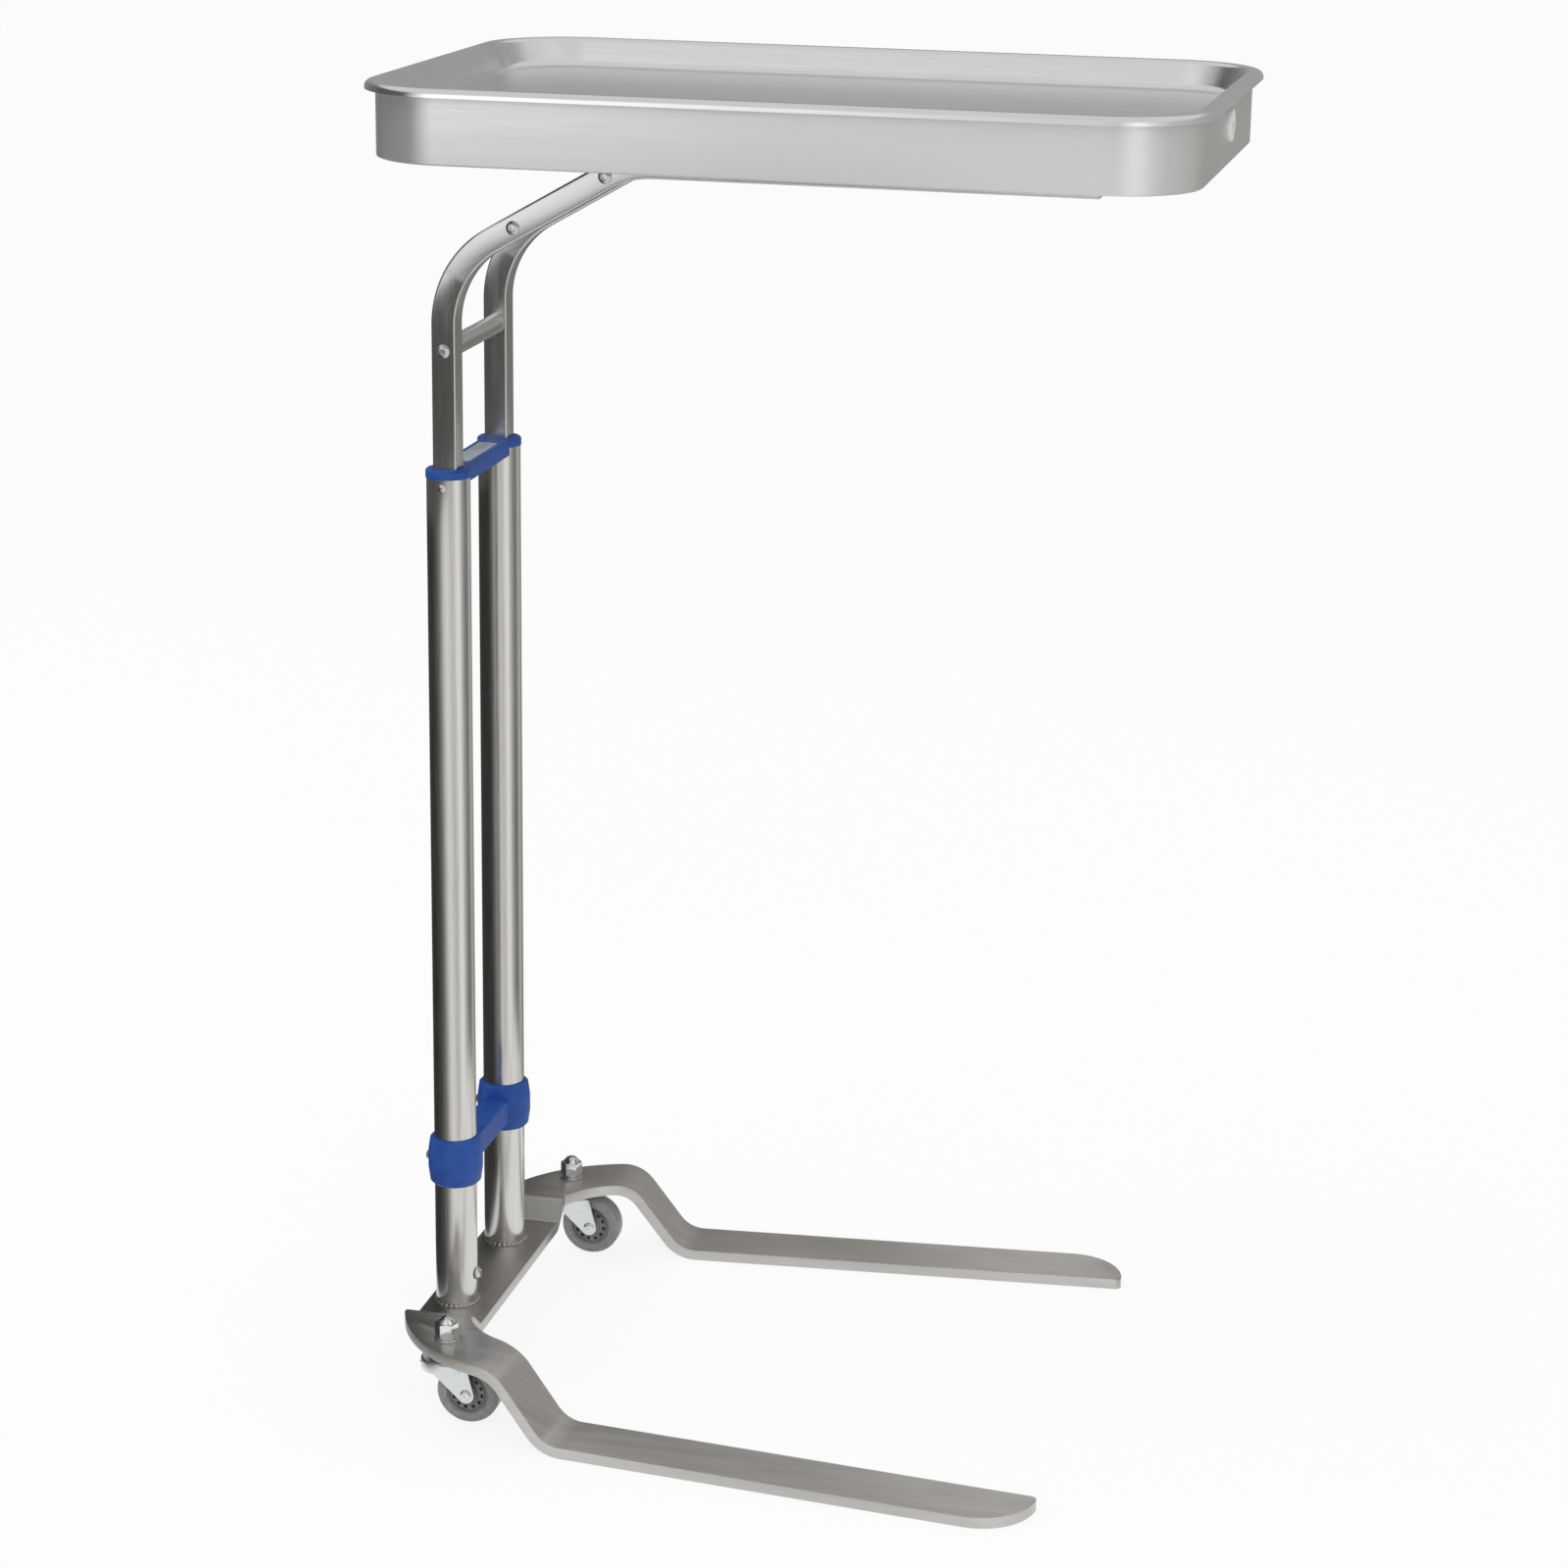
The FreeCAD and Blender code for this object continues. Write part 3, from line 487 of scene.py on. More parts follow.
def rounded_skirt(box: Span, start: float, radius: float, drop: float) -> bpy.types.Object:
    """Starts a skin: the side wall of a rounded plate, closed by a face at its far end.

    Args:
        box: Box whose length and width the plate has.
        start: Height of the wall's open end.
        radius: Radius of the corners.
        drop: How far the wall goes up, or down where it is negative.

    Returns:
        The piece, open in edit mode with the closing face selected.
    """
    centre = Vector((box.middle.x, box.middle.y, start))
    piece = rounded_plate(centre, box.length, box.width, radius, CORNER_STEPS)
    bpy.ops.mesh.delete(type="ONLY_FACE")
    bpy.ops.mesh.select_mode(type="EDGE")
    bpy.ops.mesh.select_all(action="SELECT")
    drag(drop)
    cap_loop(piece, upwards=drop > 0.0)
    return piece


def join(pieces: Sequence[bpy.types.Object]) -> bpy.types.Object:
    """Joins pieces into the first one.

    Args:
        pieces: The pieces.

    Returns:
        The joined piece.
    """
    pick(pieces[0])
    for piece in pieces[1:]:
        piece.select_set(True)
    bpy.ops.object.join()
    return pieces[0]


def duplicate(piece: bpy.types.Object) -> bpy.types.Object:
    """Copies a piece.

    Args:
        piece: The piece.

    Returns:
        The copy, with a mesh of its own.
    """
    pick(piece)
    bpy.ops.object.duplicate(linked=False)
    return bpy.context.object


def copy_to(piece: bpy.types.Object, seat: Vector, axis: Axis) -> bpy.types.Object:
    """Copies a piece that was made upright at the origin to a seat.

    Args:
        piece: The piece to copy.
        seat: Where the copy's origin goes.
        axis: Where the copy's +Z points.

    Returns:
        The copy.
    """
    copy = duplicate(piece)
    aim(copy, seat, axis)
    return copy


def mirrored(piece: bpy.types.Object) -> bpy.types.Object:
    """Copies a piece to the other side of the plane y = 0.

    Args:
        piece: The piece.

    Returns:
        The mirrored copy.
    """
    copy = duplicate(piece)
    copy.scale = (1.0, -1.0, 1.0)
    settle(copy)
    mend_normals(copy)
    return copy


def from_node(node: str) -> bpy.types.Object:
    """Copies a solid of the frame and merges its triangles into whole faces.

    Args:
        node: Name of the solid.

    Returns:
        The copy, ready to be rounded and shaded.
    """
    source = bpy.data.objects[node]
    deselect()
    copy = source.copy()
    copy.data = source.data.copy()
    copy.name = node + "_copy"
    copy.parent = None
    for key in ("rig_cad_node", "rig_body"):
        if key in copy:
            del copy[key]
    bpy.context.scene.collection.objects.link(copy)
    copy.data.materials.clear()
    enter_edit(copy)
    bpy.ops.mesh.customdata_custom_splitnormals_clear()
    bpy.ops.mesh.remove_doubles(threshold=CAD_MERGE_DISTANCE)
    bpy.ops.mesh.dissolve_limited(angle_limit=FLAT_ANGLE)
    leave_edit()
    return copy


def grain_layer(piece: bpy.types.Object) -> bpy.types.MeshUVLoopLayer:
    """Finds or makes the map that holds a piece's grain.

    Args:
        piece: The piece.

    Returns:
        The map.
    """
    return piece.data.uv_layers.get(GRAIN_MAP) or piece.data.uv_layers.new(name=GRAIN_MAP)


def lay_grain(piece: bpy.types.Object, along: Axis) -> None:
    """Lays a straight grain: the map's first coordinate runs across it, the second along it.

    Args:
        piece: The piece.
        along: Direction of the grain.
    """
    direction = along.vector
    across = {
        Axis.X: Vector((0.0, 1.0, GRAIN_LEAN)),
        Axis.Y: Vector((1.0, 0.0, GRAIN_LEAN)),
        Axis.Z: Vector((1.0, GRAIN_LEAN, 0.0)),
    }[along]
    layer = grain_layer(piece)
    points = piece.data.vertices
    for loop in piece.data.loops:
        place = points[loop.vertex_index].co
        layer.data[loop.index].uv = (place.dot(across), place.dot(direction))


@dataclass(frozen=True)
class Finish:
    """A material and the record's slot that it belongs to."""

    material: bpy.types.Material
    slot: str


def dress(
    piece: bpy.types.Object, name: str, body: str, finish: Finish, *replaced: str
) -> None:
    """Names, shades and dresses a finished piece, says what it rides on and hides the solids it
    stands for.

    Args:
        piece: The piece.
        name: Its name.
        body: The body that it moves with.
        finish: Its finish.
        *replaced: Solids of the frame that it stands for.
    """
    shade(piece)
    piece.name = name
    piece.data.name = name
    piece.data.materials.clear()
    piece.data.materials.append(finish.material)
    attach(piece, body)
    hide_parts(*replaced)
    LOG.info("%s: %d faces on %s", name, len(piece.data.polygons), body)


def dress_copy(
    node: str,
    name: str,
    body: str,
    finish: Finish,
    edge: float = 0.0,
    segments: int = 3,
    grain: Axis | None = None,
) -> None:
    """Copies a solid of the frame, rounds its edges and dresses the copy.

    Args:
        node: Name of the solid.
        name: Name of the copy.
        body: The body that it moves with.
        finish: Its finish.
        edge: Width of the rounding, or 0 for sharp edges.
        segments: Faces across the rounding.
        grain: Direction of the grain, if it has one.
    """
    piece = from_node(node)
    if edge > 0.0:
        soften(piece, edge, segments)
    if grain is not None:
        lay_grain(piece, grain)
    dress(piece, name, body, finish, node)


class Tree:
    """Short ways to add and join the nodes of one tree."""

    def __init__(self, tree: bpy.types.NodeTree) -> None:
        """Takes hold of a tree.

        Args:
            tree: The tree.
        """
        self.tree = tree

    def add(
        self, kind: str, values: Mapping[str | int, object] | None = None, **settings: object
    ) -> bpy.types.Node:
        """Adds a node.

        Args:
            kind: Blender's name of the node type.
            values: A value, or a socket to join to, for each input that isn't left alone.
            **settings: Values for the node's own settings.

        Returns:
            The node.
        """
        node = self.tree.nodes.new(kind)
        for name, value in settings.items():
            setattr(node, name, value)
        for key, value in (values or {}).items():
            if isinstance(value, bpy.types.NodeSocket):
                self.tree.links.new(value, node.inputs[key])
            else:
                node.inputs[key].default_value = value
        return node

    def link(self, source: bpy.types.NodeSocket, target: bpy.types.NodeSocket) -> None:
        """Joins two sockets."""
        self.tree.links.new(source, target)

    def compute(self, operation: str, *values: object) -> bpy.types.NodeSocket:
        """Adds a sum.

        Args:
            operation: Blender's name of the operation.
            *values: Its numbers or sockets, in order.

        Returns:
            The socket that gives the result.
        """
        return self.add("ShaderNodeMath", dict(enumerate(values)), operation=operation).outputs[0]

    def mix(self, factor: object, first: object, second: object) -> bpy.types.NodeSocket:
        """Mixes two shaders.

        Args:
            factor: Share of the second shader.
            first: The first shader.
            second: The second shader.

        Returns:
            The socket that gives the mixed shader.
        """
        return self.add("ShaderNodeMixShader", {0: factor, 1: first, 2: second}).outputs[0]

    def seen_ray(self) -> bpy.types.NodeSocket:
        """Tells the rays that show a background: those of the camera, of gloss and of glass.

        Returns:
            The socket that is 1 for such a ray and 0 for any other.
        """
        path = self.add("ShaderNodeLightPath").outputs
        glass = self.compute("MAXIMUM", path["Is Glossy Ray"], path["Is Transmission Ray"])
        return self.compute("MAXIMUM", path["Is Camera Ray"], glass)


class Nodes(Tree):
    """The node tree of one material."""

    def __init__(self, name: str, **inputs: float) -> None:
        """Starts a material with a Principled shader.

        Args:
            name: Name of the material.
            **inputs: Values of one-word inputs of the shader.
        """
        self.material = bpy.data.materials.new(name)
        self.material.use_nodes = True
        super().__init__(self.material.node_tree)
        self.shader = self.tree.nodes["Principled BSDF"]
        for key, value in inputs.items():
            self.shader.inputs[key].default_value = value

    def finish(self, slot: str) -> Finish:
        """Pairs the material with its slot.

        Args:
            slot: The record's material slot.

        Returns:
            The finish.
        """
        return Finish(self.material, slot)

    def show(self, surface: bpy.types.NodeSocket) -> None:
        """Puts a shader in the place of the Principled one."""
        self.link(surface, self.tree.nodes["Material Output"].inputs["Surface"])

    def noise(
        self, scale: Sequence[float], grain: bool = False, detail: float = 3.0
    ) -> bpy.types.NodeSocket:
        """A noise pattern.

        Args:
            scale: Repeats for each metre in each direction.
            grain: Whether it follows the grain map in place of object coordinates.
            detail: Octaves of the noise.

        Returns:
            The socket that gives the pattern, from 0 to 1.
        """
        if grain:
            source = self.add("ShaderNodeUVMap", uv_map=GRAIN_MAP).outputs["UV"]
        else:
            source = self.add("ShaderNodeTexCoord").outputs["Object"]
        place = self.add("ShaderNodeMapping", {"Scale": tuple(scale), "Vector": source})
        values = {"Scale": 1.0, "Detail": detail, "Vector": place.outputs["Vector"]}
        return self.add("ShaderNodeTexNoise", values).outputs["Fac"]

    def spread(self, source: bpy.types.NodeSocket, low: float, high: float) -> bpy.types.NodeSocket:
        """Carries the middle of a pattern's range to a range of values.

        Args:
            source: The pattern.
            low: Value at the low end of that middle.
            high: Value at its high end.

        Returns:
            The socket that gives the values.
        """
        start, end = PATTERN_RANGE
        values = {
            "From Min": start, "From Max": end, "To Min": low, "To Max": high, "Value": source
        }
        return self.add("ShaderNodeMapRange", values).outputs["Result"]

    def vary(
        self, pattern: bpy.types.NodeSocket, dark: Color, light: Color, rough: float, swing: float
    ) -> None:
        """Lets the colour and the roughness follow a pattern.

        Args:
            pattern: The pattern.
            dark: Colour where it is low.
            light: Colour where it is high.
            rough: Middle roughness.
            swing: How far the roughness goes either way.
        """
        values = {"A": (*dark, 1.0), "B": (*light, 1.0), "Factor": self.spread(pattern, 0.0, 1.0)}
        tint = self.add("ShaderNodeMix", values, data_type="RGBA")
        self.link(tint.outputs["Result"], self.shader.inputs["Base Color"])
        gloss = self.spread(pattern, rough - swing, rough + swing)
        self.link(gloss, self.shader.inputs["Roughness"])

    def bump(self, height: bpy.types.NodeSocket, strength: float, distance: float) -> None:
        """Raises the surface by a pattern.

        Args:
            height: The pattern.
            strength: Strength of the bump.
            distance: Height of the pattern in metres.
        """
        values = {"Strength": strength, "Distance": distance, "Height": height}
        bump = self.add("ShaderNodeBump", values)
        self.link(bump.outputs["Normal"], self.shader.inputs["Normal"])


def scaled(color: Color, factor: float) -> Color:
    """Makes a colour lighter or darker.

    Args:
        color: The colour.
        factor: What each channel is multiplied by.

    Returns:
        The new colour, no channel above 1.
    """
    return tuple(min(1.0, channel * factor) for channel in color)


@dataclass(frozen=True)
class BrushedSteel:
    """Stainless steel brushed one way, with fine streaks and broader faint bands."""

    name: str
    slot: str
    color: Color
    roughness: float
    roughness_swing: float = 0.06
    color_swing: float = 0.06
    anisotropy: float = 0.7
    streaks: tuple[float, float, float] = (1000.0, 25.0, 1.0)
    bands: tuple[float, float, float] = (140.0, 5.0, 1.0)
    relief: float = 0.04
    streak_height: float = 0.02 * MM

    def build(self) -> Finish:
        """Makes the finish.

        Returns:
            The finish.
        """
        nodes = Nodes(self.name, Metallic=1.0, Anisotropic=self.anisotropy)
        streaks = nodes.noise(self.streaks, grain=True)
        bands = nodes.noise(self.bands, grain=True, detail=4.0)
        halves = [nodes.compute("MULTIPLY", pattern, 0.5) for pattern in (streaks, bands)]
        nodes.vary(
            nodes.compute("ADD", *halves),
            scaled(self.color, 1.0 - self.color_swing),
            scaled(self.color, 1.0 + self.color_swing),
            self.roughness,
            self.roughness_swing,
        )
        tangent = nodes.add("ShaderNodeTangent", direction_type="UV_MAP", uv_map=GRAIN_MAP)
        nodes.link(tangent.outputs["Tangent"], nodes.shader.inputs["Tangent"])
        nodes.bump(streaks, self.relief, self.streak_height)
        return nodes.finish(self.slot)


@dataclass(frozen=True)
class PlatedSteel:
    """Polished or plated metal with a faint uneven gloss."""

    name: str
    slot: str
    color: Color
    roughness: float
    roughness_swing: float = 0.05
    color_swing: float = 0.08
    mottle_scale: float = 180.0
    relief: float = 0.05
    mottle_height: float = 0.05 * MM

    def build(self) -> Finish:
        """Makes the finish.

        Returns:
            The finish.
        """
        nodes = Nodes(self.name, Metallic=1.0)
        mottle = nodes.noise((self.mottle_scale,) * 3, detail=4.0)
        dark = scaled(self.color, 1.0 - self.color_swing)
        nodes.vary(mottle, dark, self.color, self.roughness, self.roughness_swing)
        nodes.bump(mottle, self.relief, self.mottle_height)
        return nodes.finish(self.slot)


@dataclass(frozen=True)
class MouldedPlastic:
    """Moulded plastic with a faint mottle, orange-peel relief and a soft gloss."""

    name: str
    slot: str
    color: Color
    light: Color
    roughness: float
    roughness_swing: float = 0.06
    mottle_scale: float = 90.0
    grain_scale: float = 900.0
    relief: float = 0.25
    grain_height: float = 0.03 * MM
    subsurface: float = 0.0
    subsurface_scale: float = 3.0 * MM

    def build(self) -> Finish:
        """Makes the finish.

        Returns:
            The finish.
        """
        nodes = Nodes(self.name)
        mottle = nodes.noise((self.mottle_scale,) * 3, detail=5.0)
        nodes.vary(mottle, self.color, self.light, self.roughness, self.roughness_swing)
        if self.subsurface > 0.0:
            nodes.shader.inputs["Subsurface Weight"].default_value = self.subsurface
            nodes.shader.inputs["Subsurface Scale"].default_value = self.subsurface_scale
        grain = nodes.noise((self.grain_scale,) * 3, detail=2.0)
        nodes.bump(grain, self.relief, self.grain_height)
        return nodes.finish(self.slot)


class Finishes:
    """Every finish of the stand, made once."""

    def __init__(self) -> None:
        """Makes the materials."""
        self.tray = BrushedSteel(
            "tray_satin_steel", "tray_steel", (0.72, 0.73, 0.735), 0.21, roughness_swing=0.02,
            bands=(60.0, 2.5, 1.0), relief=0.008,
        ).build()
        self.band = BrushedSteel(
            "band_satin_steel", "band_steel", (0.72, 0.735, 0.725), 0.40, color_swing=0.04,
            anisotropy=0.92, relief=0.02,
        ).build()
        self.bar = BrushedSteel(
            "bar_brushed_steel", "bar_steel", (0.58, 0.59, 0.58), 0.24
        ).build()
        self.post = BrushedSteel(
            "post_brushed_steel", "post_steel", (0.66, 0.65, 0.63), 0.22, color_swing=0.10
        ).build()
        self.base = BrushedSteel(
            "base_ground_steel", "base_steel", (0.57, 0.555, 0.53), 0.39, color_swing=0.13,
            anisotropy=0.86, bands=(140.0, 14.0, 1.0), relief=0.08,
        ).build()
        self.weld = PlatedSteel(
            "weld_bead_steel", "weld_steel", (0.50, 0.48, 0.45), 0.38
        ).build()
        self.screw = PlatedSteel("screw_steel", "screw_steel", (0.68, 0.67, 0.67), 0.34).build()
        self.nut = PlatedSteel(
            "polished_nut_steel", "bright_nut", (0.80, 0.80, 0.80), 0.15
        ).build()
        self.zinc = PlatedSteel(
            "bright_zinc_plate", "zinc_steel", (0.70, 0.725, 0.735), 0.30, color_swing=0.03,
            mottle_scale=260.0, relief=0.01,
        ).build()
        self.blue = MouldedPlastic(
            "blue_moulded_nylon", "blue_nylon", (0.002, 0.050, 0.290), (0.006, 0.085, 0.390), 0.5
        ).build()
        self.white = MouldedPlastic(
            "white_moulded_nylon", "white_nylon", (0.74, 0.75, 0.74), (0.82, 0.83, 0.82), 0.35,
            relief=0.1,
        ).build()
        self.natural = MouldedPlastic(
            "natural_nylon", "pad_nylon", (0.66, 0.64, 0.56), (0.74, 0.72, 0.64), 0.4,
            subsurface=0.1,
        ).build()
        self.inlay = MouldedPlastic(
            "pale_inlay_plastic", "pale_inlay", (0.36, 0.40, 0.46), (0.46, 0.50, 0.56), 0.35
        ).build()
        self.hub = MouldedPlastic(
            "grey_hub_nylon", "grey_nylon", (0.13, 0.135, 0.14), (0.22, 0.225, 0.23), 0.3
        ).build()
        self.tyre = MouldedPlastic(
            "grey_soft_tyre", "grey_tyre", (0.20, 0.205, 0.21), (0.33, 0.335, 0.345), 0.34,
            mottle_scale=520.0, subsurface=0.25,
        ).build()


@dataclass
class Group:
    """Pieces that are made together."""

    finishes: Finishes


@dataclass
class TopTray(Group):
    """The pressed tray: turned-down rim, sloping wall and flat floor in one sheet."""

    corner_radius: float = 56.0 * MM
    rim_drop: float = 4.8 * MM
    roll_radius: float = 4.0 * MM
    land: float = 6.0 * MM
    shoulder_radius: float = 3.0 * MM
    wall_run: float = 6.0 * MM
    floor_radius: float = 5.5 * MM
    sheet: float = 1.0 * MM
    depth: float = 17.0 * MM
    arc_steps: int = 7

    def outline(self) -> list[tuple[float, float]]:
        """Inset and height of each step from the rim's lip to the floor.

        Returns:
            Insets from the outer edge and heights below the crest, in order.
        """
        roll, shoulder, fillet = self.roll_radius, self.shoulder_radius, self.floor_radius
        points = arc((roll, -roll), roll, 180.0, 90.0, self.arc_steps)
        start = roll + self.land
        slope = math.atan2(self.depth, self.wall_run)
        tangent = math.tan(slope / 2.0)
        turn = math.degrees(slope)
        centre = (start - shoulder * tangent, -shoulder)
        points += arc(centre, shoulder, 90.0, 90.0 - turn, self.arc_steps)
        centre = (start + self.wall_run + fillet * tangent, fillet - self.depth)
        points += arc(centre, fillet, 270.0 - turn, 270.0, self.arc_steps)
        return points

    def build(self) -> None:
        """Makes and dresses the tray."""
        points = self.outline()
        box = Span.of("instrument_tray")
        piece = rounded_skirt(
            box, box.high.z - self.rim_drop, self.corner_radius, self.rim_drop + points[0][1]
        )
        sink(points)
        leave_edit()
        mend_normals(piece)
        top = max(piece.data.polygons, key=lambda polygon: polygon.area)
        if top.normal.z < 0.0:
            flip(piece)
        thicken(piece, self.sheet)
        lay_grain(piece, Axis.X)
        dress(piece, "tray", "tray", self.finishes.tray, "instrument_tray")


@dataclass
class FrameBand(Group):
    """The band under the tray, its cross straps, and the button on its free end."""

    corner_radius: float = 49.7 * MM
    sheet: float = 1.5 * MM
    flange: float = 10.0 * MM
    edge_radius: float = 1.0 * MM
    edge_steps: int = 3
    strap_edge: float = 0.5 * MM
    button_edge: float = 1.0 * MM
    dish_radius: float = 3.4 * MM
    dish_depth: float = 0.9 * MM
    dish_lip: float = 0.4 * MM
    lip_drop: float = 0.3 * MM
    dish_slope: float = 0.6 * MM

    def build(self) -> None:
        """Makes and dresses the pieces."""
        self.build_band()
        for node in ("rear_cross_strap", "front_cross_strap"):
            dress_copy(
                node, node + "_plate", "carrier", self.finishes.band, self.strap_edge, grain=Axis.Y
            )
        self.build_button()

    def build_band(self) -> None:
        """Makes the band as one skin folded in at its lower edge."""
        box = Span.of("tray_frame_band")
        radius = self.edge_radius
        piece = rounded_skirt(box, box.high.z, self.corner_radius, radius - box.height)
        sink(arc((radius, 0.0), radius, 180.0, 90.0, self.edge_steps))
        bpy.ops.mesh.inset(thickness=self.sheet + self.flange - radius, depth=0.0)
        bpy.ops.mesh.delete(type="FACE")
        leave_edit()
        face_consistently(piece)
        side = max(piece.data.polygons, key=lambda polygon: abs(polygon.normal.x) * polygon.area)
        if side.normal.x * side.center.x < 0.0:
            flip(piece)
        thicken(piece, self.sheet)
        lay_grain(piece, Axis.X)
        dress(piece, "frame_band", "carrier", self.finishes.band, "tray_frame_band")

    def build_button(self) -> None:
        """Makes the dished button and its screw."""
        box = Span.of("tray_button")
        radius, thickness = box.width / 2, box.length
        seat = Vector((box.low.x, box.middle.y, box.middle.z))
        edge, dish = self.button_edge, self.dish_radius
        floor = thickness - self.dish_depth
        profile = [(0.0, 0.0), (radius, 0.0)]
        profile += arc((radius - edge, thickness - edge), edge, 0.0, 90.0, 5)
        profile += [
            (dish + self.dish_lip, thickness),
            (dish, thickness - self.lip_drop),
            (dish - self.dish_slope, floor),
            (0.0, floor),
        ]
        button = turned(profile)
        aim(button, seat, Axis.X)
        dress(button, "end_button", "carrier", self.finishes.white, "tray_button")
        head = turned([(across * MM, up * MM) for across, up in SMALL_HEAD_MM], MEDIUM)
        aim(head, seat + Vector((floor, 0.0, 0.0)), Axis.X)
        dress(head, "end_button_screw", "carrier", self.finishes.screw, "tray_button_screw")


@dataclass
class BentBars(Group):
    """The two bent square bars, their cross rods and screws."""

    corner_radius: float = 1.6 * MM
    corner_steps: int = 5
    bend_radius: float = 60.0 * MM
    rise: float = math.radians(30.0)
    knee_height: float = 701.52 * MM
    bend_steps: int = 18
    head_radius: float = 4.2 * MM
    head_height: float = 2.4 * MM
    socket: float = 1.5 * MM
    socket_depth: float = 1.4 * MM
    flat_screw_edge: float = 0.15 * MM

    def centre_line(self) -> list[tuple[float, float]]:
        """Corner points of the bar's centre line in the plane y = 0.

        Returns:
            X and Z of the foot, the two bends and the free end.
        """
        box = Span.of("left_bar")
        half = box.width / 2
        foot_x, top_z = box.low.x + half, box.high.z - half
        run = (top_z - self.knee_height) / math.tan(self.rise)
        return [
            (foot_x, box.low.z), (foot_x, self.knee_height), (foot_x + run, top_z),
            (box.high.x, top_z),
        ]

    def build(self) -> None:
        """Makes and dresses the pieces."""
        bar = self.build_bar()
        for side in Side:
            copy = bar if side is Side.LEFT else mirrored(bar)
            self.lay_grain_along(copy)
            dress(
                copy, side.word + "_square_bar", "carrier", self.finishes.bar, side.word + "_bar"
            )
        for node in CROSS_RODS:
            box = Span.of(node)
            radius, length = box.height / 2, box.width
            rod = turned([(0.0, 0.0), (radius, 0.0), (radius, length), (0.0, length)])
            aim(rod, Vector((box.middle.x, box.low.y, box.middle.z)), Axis.Y)
            lay_grain(rod, Axis.Y)
            dress(rod, node + "_bar", "carrier", self.finishes.bar, node)
        self.build_screws()

    def build_bar(self) -> bpy.types.Object:
        """Extrudes and spins a square face with round corners along the left bar's line.

        Returns:
            The left bar.
        """
        foot, knee, crown, end = self.centre_line()
        box = Span.of("left_bar")
        size, bend, middle_y = box.width, self.bend_radius, box.middle.y
        first_turn = math.pi / 2 - self.rise
        knee_setback = bend * math.tan(first_turn / 2)
        setback = bend * math.tan(self.rise / 2)
        slope = Vector((math.sin(first_turn), 0.0, math.sin(self.rise)))
        inward = Vector((slope.z, 0.0, -slope.x))
        piece = rounded_plate(
            Vector((foot[0], middle_y, foot[1])), size, size, self.corner_radius, self.corner_steps
        )
        push((0.0, 0.0, knee[1] - knee_setback - foot[1]))
        spin(
            2 * self.bend_steps, first_turn,
            Vector((knee[0] + bend, middle_y, knee[1] - knee_setback)),
        )
        slope_length = math.hypot(crown[0] - knee[0], crown[1] - knee[1]) - knee_setback - setback
        push(slope * slope_length)
        bend_start = Vector((crown[0], middle_y, crown[1])) - slope * setback
        spin(self.bend_steps, self.rise, bend_start + inward * bend)
        push((end[0] - crown[0] - setback, 0.0, 0.0))
        leave_edit()
        mend_normals(piece)
        return piece

    def lay_grain_along(self, piece: bpy.types.Object) -> None:
        """Lays the grain along the bent centre line of a bar.

        Args:
            piece: The bar.
        """
        line = [Vector((x, 0.0, z)) for x, z in self.centre_line()]
        layer = grain_layer(piece)
        for loop in piece.data.loops:
            place = piece.data.vertices[loop.vertex_index].co
            flat = Vector((place.x, 0.0, place.z))
            found = []
            travelled = 0.0
            for start, end in zip(line, line[1:]):
                run, arm = end - start, flat - start
                share = max(0.0, min(1.0, arm.dot(run) / run.length ** 2))
                side = Vector((run.z, 0.0, -run.x)).normalized().dot(arm)
                found.append(((arm - run * share).length, travelled + share * run.length, side))
                travelled += run.length
            _, along, side = min(found, key=lambda stretch: stretch[0])
            layer.data[loop.index].uv = (side + GRAIN_LEAN * place.y, along)

    def build_screws(self) -> None:
        """Makes the button-head screws of the bars and the flat ones of the straps."""
        head = socket_head(self.head_radius, self.head_height, self.socket, self.socket_depth)
        rods = [Span.of(node).middle for node in CROSS_RODS]
        for side in Side:
            face_y = side.outer_y(Span.of(side.word + "_bar"))
            heads = [copy_to(head, Vector((rod.x, face_y, rod.z)), side.outward) for rod in rods]
            dress(
                join(heads), side.word + "_bar_button_screws", "carrier", self.finishes.screw,
                side.word + "_bar_screws",
            )
        bpy.data.objects.remove(head)
        dress_copy(
            "rail_screws", "rail_flat_screws", "carrier", self.finishes.screw,
            self.flat_screw_edge, 2,
        )


def dome(
    radius: float, height: float, top_radius: float, steps: int = 8
) -> list[tuple[float, float]]:
    """Points of a domed head above its rim.

    Args:
        radius: Radius of the rim, at height 0.
        height: Height of the whole dome.
        top_radius: Radius at which the points end.
        steps: How many points there are.

    Returns:
        Radius and height of each point, without the rim's own.
    """
    sphere = (radius ** 2 + height ** 2) / (2 * height)
    start, end = math.asin(radius / sphere), math.asin(top_radius / sphere)
    points = []
    for step in range(1, steps + 1):
        angle = start + (end - start) * step / steps
        points.append((sphere * math.sin(angle), height - sphere + sphere * math.cos(angle)))
    return points


